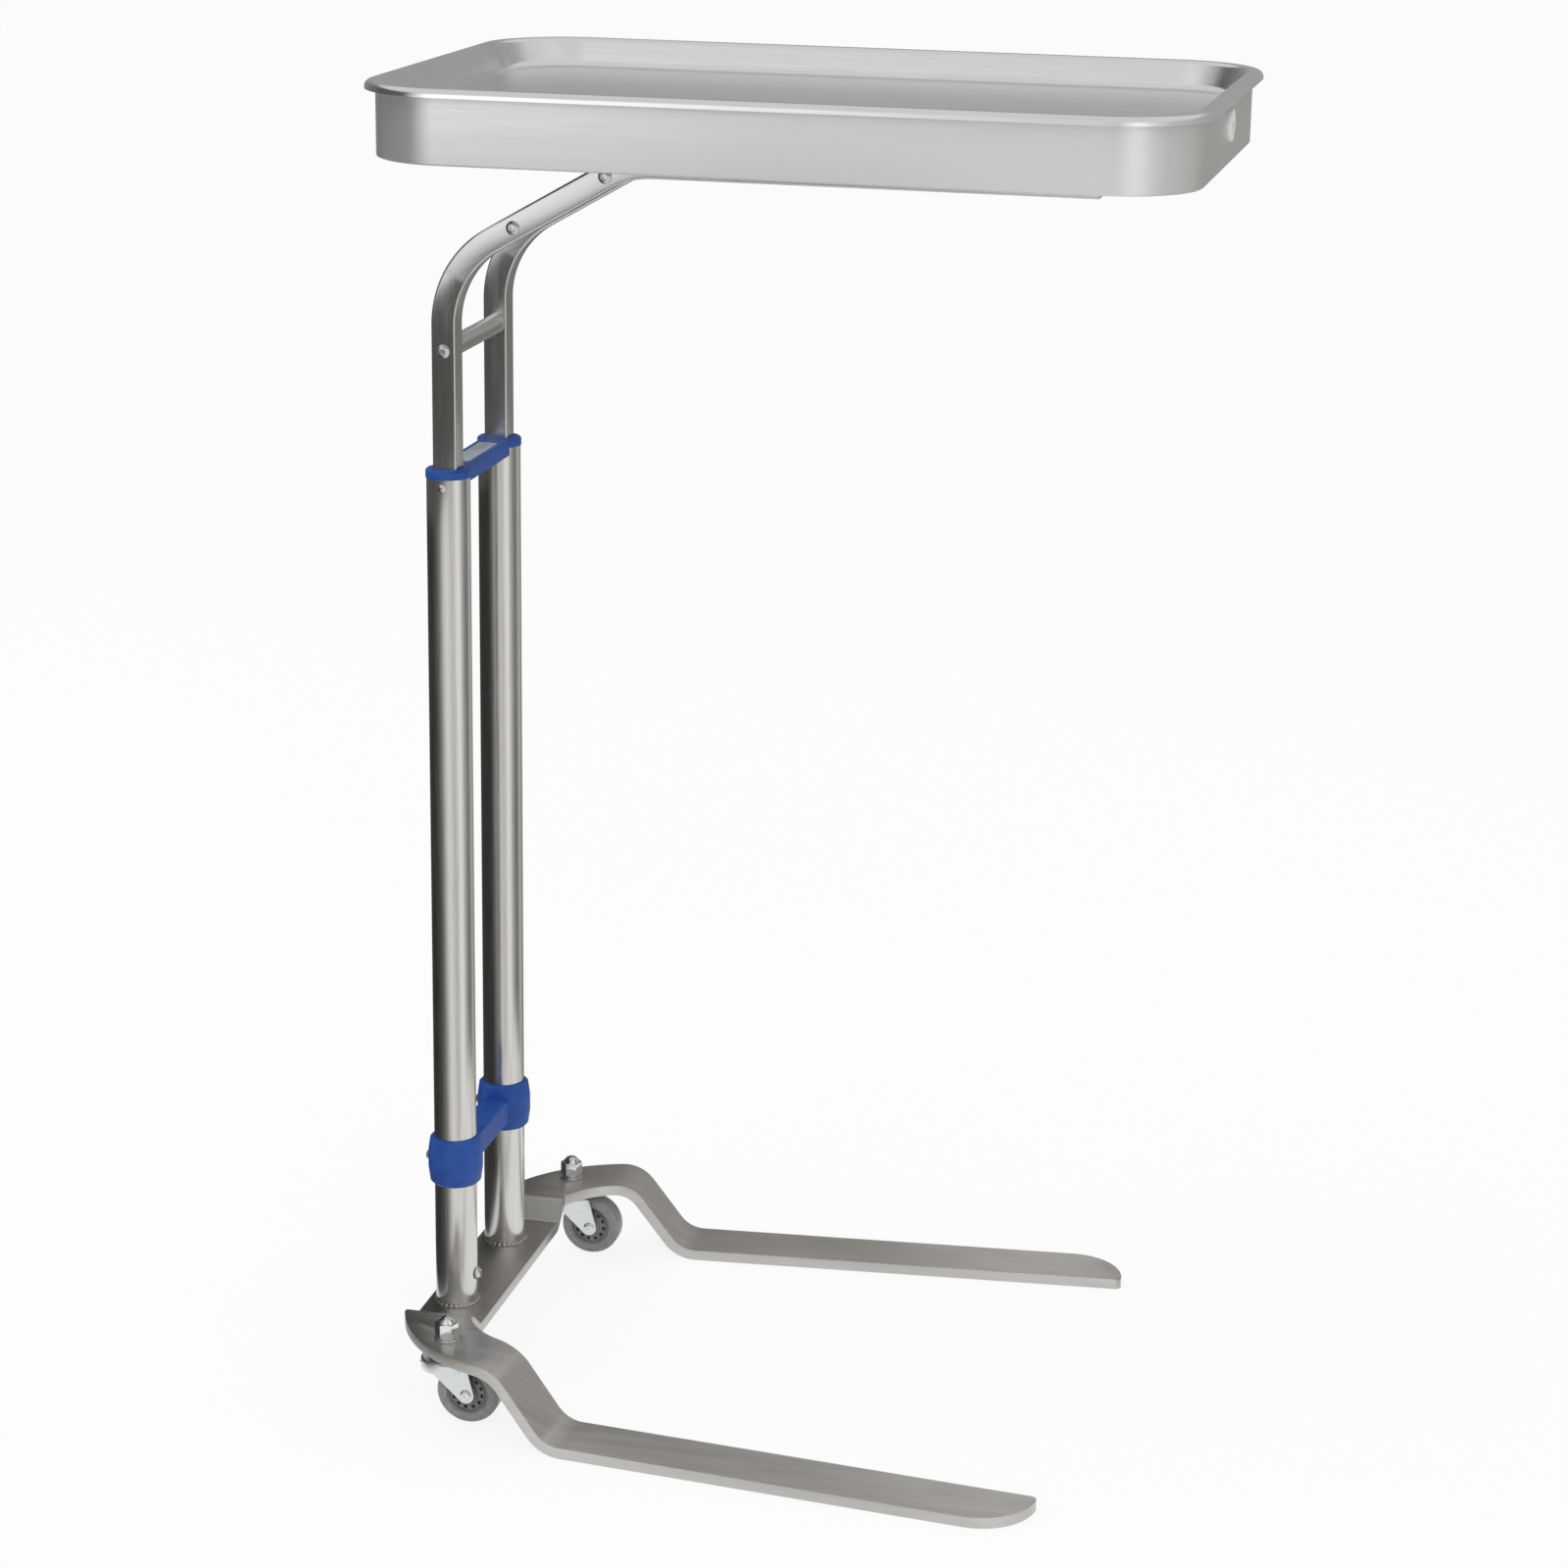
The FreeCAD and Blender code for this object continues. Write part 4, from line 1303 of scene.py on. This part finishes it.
def socket_head(radius: float, height: float, socket: float, depth: float) -> bpy.types.Object:
    """A low domed screw head with a hexagon socket, upright at the origin.

    Args:
        radius: Radius of the head.
        height: Height of its dome.
        socket: Distance from the socket's middle to its flats.
        depth: Depth of the socket.

    Returns:
        The head.
    """
    points = dome(radius, height, socket * SOCKET_RIM)
    head = turned([(0.0, 0.0), (radius, 0.0)] + points, MEDIUM)
    top = points[-1][1]
    deselect()
    bpy.ops.mesh.primitive_circle_add(
        vertices=6, radius=socket / math.cos(math.radians(30.0)), fill_type="NGON",
        location=(0.0, 0.0, top),
    )
    key = bpy.context.object
    settle(key)
    enter_edit(key, "FACE")
    push((0.0, 0.0, -depth))
    select_faces(key, lambda centre, normal: abs(centre.z - top) < LEVEL_TOLERANCE)
    bpy.ops.mesh.delete(type="FACE")
    leave_edit()
    piece = join([head, key])
    enter_edit(piece)
    bpy.ops.mesh.select_all(action="DESELECT")
    bpy.ops.mesh.select_non_manifold()
    bpy.ops.mesh.bridge_edge_loops()
    leave_edit()
    face_consistently(piece)
    return piece


@dataclass
class Posts(Group):
    """The two posts, their weld beads, cap, collar and screws."""

    wall: float = 1.6 * MM
    bead_radius: float = 1.5 * MM
    bead_lift: float = 0.25
    bead_ripples: int = 26
    bead_ripple: float = 0.3
    bead_sides: int = 16
    bead_unevenness: float = 0.25
    moulded_edge: float = 0.7 * MM
    inlay_edge: float = 0.3 * MM
    rivet_radius: float = 2.5 * MM
    rivet_height: float = 1.2 * MM
    stop_head_radius: float = 4.2 * MM
    stop_head_height: float = 3.2 * MM
    stop_socket: float = 1.6 * MM
    stop_socket_depth: float = 1.5 * MM

    def build(self) -> None:
        """Makes and dresses the pieces."""
        for side in Side:
            node = side.word + "_post"
            box = Span.of(node)
            outer, height = box.width / 2, box.height
            inner = outer - self.wall
            ring = [(inner, 0.0), (outer, 0.0), (outer, height), (inner, height), (inner, 0.0)]
            post = turned(ring)
            aim(post, box.foot, Axis.Z)
            lay_grain(post, Axis.Z)
            dress(post, side.word + "_post_tube", "base", self.finishes.post, node)
        beads = [self.build_bead(side) for side in Side]
        dress(join(beads), "post_weld_bead", "base", self.finishes.weld, "post_weld_beads")
        blue, edge = self.finishes.blue, self.moulded_edge
        dress_copy("post_cap", "double_cap", "base", blue, edge)
        dress_copy("post_collar", "double_collar", "base", blue, edge)
        dress_copy("cap_inlay", "cap_bare_inlay", "base", self.finishes.inlay, self.inlay_edge)
        self.build_small_heads()

    def build_bead(self, side: Side) -> bpy.types.Object:
        """Makes the rippled weld bead round the foot of a post.

        Args:
            side: The post's side.

        Returns:
            The bead.
        """
        box = Span.of(side.word + "_post")
        lift = self.bead_lift * self.bead_radius
        reach = box.width / 2 + lift
        seat = box.foot + Vector((0.0, 0.0, lift))
        deselect()
        bpy.ops.mesh.primitive_torus_add(
            major_radius=reach,
            minor_radius=self.bead_radius,
            major_segments=6 * self.bead_ripples,
            minor_segments=self.bead_sides,
            location=seat,
        )
        bead = bpy.context.object
        settle(bead)
        for vertex in bead.data.vertices:
            arm = vertex.co - seat
            angle = math.atan2(arm.y, arm.x)
            wave = abs(math.sin(angle * self.bead_ripples / 2))
            swing = 0.25 * math.sin(3 * angle + side.sign) + 0.2 * math.sin(7 * angle)
            core = seat + Vector((math.cos(angle), math.sin(angle), 0.0)) * reach
            ripple = self.bead_ripple * (self.bead_unevenness * swing + wave - 1.0)
            vertex.co = core + (vertex.co - core) * (1.0 + ripple)
        return bead

    def build_small_heads(self) -> None:
        """Makes the rivets of the cap, the stop screw and the collar screws."""
        screw = self.finishes.screw
        radius = self.rivet_radius
        points = [(0.0, 0.0), (radius, 0.0)] + dome(radius, self.rivet_height, 0.0)
        rivet = turned(points, MEDIUM)
        height = Span.of("cap_rivets").middle.z
        heads = []
        for side in Side:
            box = Span.of(side.word + "_post")
            seat = Vector((box.middle.x, side.outer_y(box), height))
            heads.append(copy_to(rivet, seat, side.outward))
        bpy.data.objects.remove(rivet)
        dress(join(heads), "cap_rivet_heads", "base", screw, "cap_rivets")
        box = Span.of("right_post")
        seat = Vector((box.high.x, box.middle.y, Span.of("stop_screw").middle.z))
        stop = socket_head(
            self.stop_head_radius, self.stop_head_height, self.stop_socket, self.stop_socket_depth
        )
        aim(stop, seat, Axis.X)
        dress(stop, "stop_screw_head", "base", screw, "stop_screw")
        dress_copy("collar_screws", "collar_screw_heads", "base", screw)


@dataclass
class FloorBase(Group):
    """The joggled cross bar and the two cranked legs."""

    edge: float = 0.8 * MM

    def build(self) -> None:
        """Makes and dresses the pieces."""
        base, edge = self.finishes.base, self.edge
        dress_copy("base_cross_bar", "cross_plate", "base", base, edge, grain=Axis.Y)
        for side in Side:
            node = side.word + "_leg"
            dress_copy(node, node + "_plate", "base", base, edge, grain=Axis.X)


@dataclass
class Caster(Group):
    """One swivel caster with its washers, cap nut, fork and wheel."""

    side: Side
    fork_edge: float = 0.45 * MM
    race_edge: float = 0.4 * MM
    small_edge: float = 0.2 * MM
    washer_edge: float = 0.3 * MM
    tyre_edge: float = 3.4 * MM
    tyre_bead: float = 0.6 * MM
    hub_radius: float = 13.0 * MM
    hub_boss_radius: float = 6.0 * MM
    boss_edge: float = 0.4 * MM
    hub_half: float = 6.0 * MM
    pocket_inner: float = 8.45 * MM
    pocket_outer: float = 10.35 * MM
    pocket_depth: float = 3.5 * MM
    pocket_count: int = 12
    pocket_share: float = 0.5
    groove_inner: float = 10.9 * MM
    groove_outer: float = 12.1 * MM
    groove_depth: float = 0.8 * MM
    nut_hex: float = 8.6 * MM
    nut_edge: float = 0.5 * MM
    nut_turn: float = math.radians(43.0)
    nut_dome: float = 5.4 * MM
    dish_rim: float = 1.1 * MM
    dish_depth: float = 0.7 * MM
    end_tolerance: float = 0.02 * MM

    def node(self, name: str) -> str:
        """Name of this side's solid, body or piece."""
        return f"{self.side.word}_{name}"

    def build(self) -> None:
        """Makes and dresses the pieces."""
        self.build_wheel()
        swivel, zinc, screw = self.node("caster"), self.finishes.zinc, self.finishes.screw
        dress_copy(self.node("caster_fork"), self.node("fork_shell"), swivel, zinc, self.fork_edge)
        dress(self.build_axle(), self.node("axle_pin"), swivel, zinc, self.node("wheel_axle"))
        dress_copy(
            self.node("ball_ring"), self.node("ball_race"), swivel, zinc, self.small_edge, 2
        )
        dress_copy(self.node("caster_race"), self.node("race_ring"), "base", zinc, self.race_edge)
        dress_copy(
            self.node("stem_washers"), self.node("washers"), "base", screw, self.washer_edge
        )
        self.build_nut()

    def build_axle(self) -> bpy.types.Object:
        """Makes the axle, with a round dish sunk in each of its heads.

        Returns:
            The axle.
        """
        node = self.node("wheel_axle")
        axle = from_node(node)
        box = Span.of(node)
        soften(axle, self.small_edge, 2)
        for end_y, sign in ((box.low.y, -1.0), (box.high.y, 1.0)):
            enter_edit(axle, "FACE")
            count = select_faces(
                axle, lambda centre, _, end_y=end_y: abs(centre.y - end_y) < self.end_tolerance
            )
            if count:
                bpy.ops.mesh.inset(thickness=self.dish_rim, depth=0.0)
                push((0.0, -sign * self.dish_depth, 0.0))
            leave_edit()
        return axle

    def build_wheel(self) -> None:
        """Makes the tyre and the hub with its ring of pockets."""
        box = Span.of(self.node("wheel_tyre"))
        radius, half = box.height / 2, box.width / 2
        edge, hub, bead = self.tyre_edge, self.hub_radius, self.tyre_bead
        body = self.node("wheel")
        profile = [(hub, bead - half), (hub + bead, -half)]
        profile += arc((radius - edge, edge - half), edge, -90.0, 0.0, 8)
        profile += arc((radius - edge, half - edge), edge, 0.0, 90.0, 8)
        profile += [(hub + bead, half), (hub, half - bead), (hub, bead - half)]
        tyre = turned(profile)
        aim(tyre, box.middle, Axis.Y)
        dress(tyre, self.node("soft_tyre"), body, self.finishes.tyre, self.node("wheel_tyre"))
        disc = self.build_hub()
        aim(disc, box.middle, Axis.Y)
        dress(disc, self.node("hub_disc"), body, self.finishes.hub, self.node("wheel_hub"))

    def build_hub(self) -> bpy.types.Object:
        """Turns the hub and sinks its pockets.

        Returns:
            The hub, upright at the origin.
        """
        boss = Span.of(self.node("wheel_hub")).width / 2
        bore = Span.of(self.node("wheel_bush")).height / 2
        half, edge, rim = self.hub_half, self.boss_edge, self.hub_boss_radius
        step = half - self.groove_depth
        upper = [
            (bore, boss), (rim - edge, boss), (rim, boss - edge), (rim, half),
            (self.pocket_inner, half), (self.pocket_outer, half), (self.groove_inner, half),
            (self.groove_inner, step), (self.groove_outer, step), (self.groove_outer, half),
            (self.hub_radius, half),
        ]
        lower = [(radius, -height) for radius, height in upper]
        hub = turned(upper + lower[::-1] + [upper[0]])
        middle = (self.pocket_inner + self.pocket_outer) / 2
        reach = (self.pocket_outer - self.pocket_inner) / 2
        pitch = math.tau / self.pocket_count
        for sign in (1.0, -1.0):
            enter_edit(hub, "FACE")

            def in_pocket(centre: Vector, normal: Vector, sign: float = sign) -> bool:
                """Whether a face lies in a pocket's place."""
                ring = abs(math.hypot(centre.x, centre.y) - middle) < reach
                turn = (math.atan2(centre.y, centre.x) % pitch) / pitch
                return normal.z * sign > FACING and ring and turn < self.pocket_share

            select_faces(hub, in_pocket)
            push((0.0, 0.0, -sign * self.pocket_depth))
            leave_edit()
        return hub

    def build_nut(self) -> None:
        """Makes the cap nut: a hexagon below, a neck and a dome above."""
        node = self.node("acorn_nut")
        box = Span.of(node)
        height, radius, middle = box.height, self.nut_dome, self.nut_hex / 2
        neck = height - radius
        profile = [(0.0, middle), (radius, middle), (radius, neck)]
        profile += arc((0.0, neck), radius, 0.0, 90.0, 14)[1:-1]
        top = turned(profile + [(0.0, height)])
        deselect()
        bpy.ops.mesh.primitive_cylinder_add(
            vertices=6,
            radius=box.length / 2,
            depth=self.nut_hex,
            rotation=(0.0, 0.0, self.nut_turn),
            location=(0.0, 0.0, middle),
        )
        hexagon = bpy.context.object
        settle(hexagon)
        soften(hexagon, self.nut_edge)
        nut = join([top, hexagon])
        aim(nut, box.foot, Axis.Z)
        dress(nut, self.node("cap_nut"), "base", self.finishes.nut, node)


def dress_hidden_nodes(finishes: Finishes) -> None:
    """Gives a finish to the solids that show as they are.

    Args:
        finishes: The materials.
    """
    plain = {"shoe_screws": finishes.screw, "friction_pads": finishes.natural}
    for side in Side:
        plain[side.word + "_guide_shoe"] = finishes.natural
        plain[side.word + "_caster_stem"] = finishes.screw
        plain[side.word + "_wheel_bush"] = finishes.natural
    for node, finish in plain.items():
        for material_slot in bpy.data.objects[node].material_slots:
            material_slot.material = finish.material


@dataclass(frozen=True)
class RingScreen:
    """A ring of studio screens that only shows as dark and pale bands in the metal.

    Its shades are pairs of a direction in degrees, from +X towards +Y, and the level there.
    """

    name: str
    foot_radius: float
    top_radius: float
    foot: float
    top: float
    shades: tuple[tuple[float, float], ...]
    warmth: float = 0.12

    def build(self) -> None:
        """Makes the ring and leaves it seen by glossy rays alone."""
        deselect()
        bpy.ops.mesh.primitive_cone_add(
            vertices=FINE,
            radius1=self.foot_radius,
            radius2=self.top_radius,
            depth=self.top - self.foot,
            end_fill_type="NOTHING",
            location=(0.0, 0.0, (self.foot + self.top) / 2),
        )
        ring = bpy.context.object
        ring.name = self.name
        settle(ring)
        ring.data.materials.append(self.material())
        for kind in ("camera", "diffuse", "transmission", "volume_scatter", "shadow"):
            setattr(ring, "visible_" + kind, False)

    def material(self) -> bpy.types.Material:
        """Makes a glow whose colour turns with the direction.

        Returns:
            The material.
        """
        nodes = Nodes(self.name)
        source = nodes.add("ShaderNodeTexCoord").outputs["Object"]
        parts = nodes.add("ShaderNodeSeparateXYZ", {"Vector": source}).outputs
        turn = nodes.compute("ARCTAN2", parts["Y"], parts["X"])
        share = nodes.compute("FRACT", nodes.compute("DIVIDE", turn, math.tau))
        ramp = nodes.add("ShaderNodeValToRGB", {"Fac": share})
        stops = ramp.color_ramp.elements
        while len(stops) > 1:
            stops.remove(stops[-1])
        for index, (direction, level) in enumerate(self.shades):
            place = direction / 360.0
            stop = stops[0] if index == 0 else stops.new(place)
            stop.position = place
            warmth = self.warmth * max(0.0, 1.0 - level)
            stop.color = (level, level * (1.0 - 0.5 * warmth), level * (1.0 - warmth), 1.0)
        glow = nodes.add("ShaderNodeEmission", {"Color": ramp.outputs["Color"]})
        nodes.show(glow.outputs[0])
        return nodes.material


POST_SCREEN = RingScreen(
    "post_screen", 0.33, 0.40, 0.0, 0.51,
    ((0, 0.40), (8, 0.30), (42, 0.15), (58, 0.42), (68, 0.66), (80, 0.62), (95, 0.34),
     (110, 0.32), (130, 0.20), (152, 0.05),
     (194, 0.035), (206, 0.09), (215, 0.24), (224, 0.66), (233, 0.95), (244, 0.95), (256, 0.74),
     (272, 0.55), (292, 0.88), (313, 1.20), (337, 0.72), (350, 0.46)),
)
BAR_SCREEN = RingScreen(
    "bar_screen", 0.40, 0.43, 0.51, 0.66,
    ((0, 0.40), (20, 0.26), (110, 0.24), (135, 0.10), (258, 0.10), (282, 0.90), (325, 1.00),
     (345, 0.45)),
)
FAR_SCREEN = RingScreen(
    "far_screen", 2.6, 2.6, 0.0, 2.3,
    ((0, 0.60), (45, 0.45), (75, 0.42), (95, 0.36), (120, 0.34), (150, 0.22), (180, 0.10),
     (215, 0.12), (230, 0.90), (241, 1.45), (250, 1.50), (258, 1.12), (266, 0.80), (285, 0.74),
     (305, 1.30), (325, 0.85), (345, 0.62)),
)


LAMPS = (
    ("key_light", (1.2, -2.6, 2.4), 1.4, 16.0),
    ("fill_light", (-2.0, -0.4, 2.6), 1.6, 10.0),
)


@dataclass
class Studio:
    """Pale floor, soft lights, world and camera."""

    floor_size: float = 60.0
    floor_grey: float = 0.9
    floor_glow: float = 0.85
    camera_place: tuple[float, float, float] = (0.498614, -2.215850, 1.054748)
    azimuth: float = math.radians(13.1355)
    elevation: float = math.radians(16.4228)
    roll: float = math.radians(0.8309)
    focal_share: float = 3937.50 / 1600.0
    sensor: float = 36.0
    side_light: float = 0.35
    top_light: float = 1.0
    mirrored_light: float = 0.8
    light_rise: tuple[float, float] = (-0.1, 0.9)
    lamp_target: tuple[float, float, float] = (0.0, 0.0, 0.45)

    def build(self) -> None:
        """Makes the floor, the world, the screens, the lights and the camera."""
        self.build_floor()
        self.build_world()
        for screen in (POST_SCREEN, BAR_SCREEN, FAR_SCREEN):
            screen.build()
        for lamp in LAMPS:
            self.add_light(*lamp)
        self.build_camera()
        bpy.context.scene.view_settings.view_transform = "Standard"

    def build_floor(self) -> None:
        """Makes the pale floor, which shows near white and keeps the shadow."""
        deselect()
        bpy.ops.mesh.primitive_plane_add(size=self.floor_size)
        floor = bpy.context.object
        floor.name = "studio_floor"
        nodes = Nodes("studio_floor", Roughness=0.9)
        nodes.shader.inputs["Base Color"].default_value = (*[self.floor_grey] * 3, 1.0)
        nodes.shader.inputs["Specular IOR Level"].default_value = 0.0
        glow = nodes.add("ShaderNodeEmission", {"Strength": 1.0})
        share = nodes.compute("MULTIPLY", nodes.seen_ray(), self.floor_glow)
        nodes.show(nodes.mix(share, nodes.shader.outputs[0], glow.outputs[0]))
        floor.data.materials.append(nodes.material)

    def build_world(self) -> None:
        """Makes a world that shows white and lights more from above than from the sides."""
        world = bpy.data.worlds.new("studio")
        bpy.context.scene.world = world
        world.use_nodes = True
        tree = Tree(world.node_tree)
        glossy = tree.add("ShaderNodeLightPath").outputs["Is Glossy Ray"]
        level = tree.add(
            "ShaderNodeMapRange", {"Value": glossy, "To Min": 1.0, "To Max": self.mirrored_light}
        )
        white = tree.add(
            "ShaderNodeBackground", {"Color": WHITE, "Strength": level.outputs["Result"]}
        )
        source = tree.add("ShaderNodeTexCoord").outputs["Generated"]
        parts = tree.add("ShaderNodeSeparateXYZ", {"Vector": source}).outputs
        start, end = self.light_rise
        rise = {"Value": parts["Z"], "From Min": start, "From Max": end}
        rise |= {"To Min": self.side_light, "To Max": self.top_light}
        strength = tree.add("ShaderNodeMapRange", rise).outputs["Result"]
        light = tree.tree.nodes["Background"]
        light.inputs["Color"].default_value = WHITE
        tree.link(strength, light.inputs["Strength"])
        shown = tree.mix(tree.seen_ray(), light.outputs[0], white.outputs[0])
        tree.link(shown, tree.tree.nodes["World Output"].inputs["Surface"])

    def add_light(
        self, name: str, place: tuple[float, float, float], size: float, power: float
    ) -> None:
        """Adds a square area light that points at the middle of the stand.

        Args:
            name: Its name.
            place: Where it stands.
            size: Its side.
            power: Its power in watts.
        """
        light = bpy.data.lights.new(name, "AREA")
        light.size = size
        light.energy = power
        lamp = bpy.data.objects.new(name, light)
        bpy.context.scene.collection.objects.link(lamp)
        lamp.location = place
        lamp.visible_glossy = False
        towards = Vector(self.lamp_target) - Vector(place)
        lamp.rotation_euler = towards.to_track_quat("-Z", "Y").to_euler()

    def build_camera(self) -> None:
        """Makes the camera at the photograph's viewing angle."""
        camera_data = bpy.data.cameras.new("camera")
        camera_data.sensor_width = self.sensor
        camera_data.lens = self.sensor * self.focal_share
        camera = bpy.data.objects.new("camera", camera_data)
        bpy.context.scene.collection.objects.link(camera)
        azimuth, elevation, roll = self.azimuth, self.elevation, self.roll
        back = Vector((
            math.sin(azimuth) * math.cos(elevation),
            -math.cos(azimuth) * math.cos(elevation),
            math.sin(elevation),
        ))
        level_right = Vector((math.cos(azimuth), math.sin(azimuth), 0.0))
        level_up = back.cross(level_right)
        right = level_right * math.cos(roll) + level_up * math.sin(roll)
        up = level_up * math.cos(roll) - level_right * math.sin(roll)
        turn = Matrix((right, up, back)).transposed().to_4x4()
        camera.matrix_world = Matrix.Translation(Vector(self.camera_place)) @ turn
        bpy.context.scene.camera = camera


def main() -> None:
    """Builds the stand around the frame, then the studio."""
    logging.basicConfig(level=logging.INFO, format="%(name)s: %(message)s")
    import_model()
    finishes = Finishes()
    for group in (TopTray, FrameBand, BentBars, Posts, FloorBase):
        group(finishes).build()
    for side in Side:
        Caster(finishes, side).build()
    dress_hidden_nodes(finishes)
    Studio().build()
    deselect()


if __name__ == "__main__":
    main()
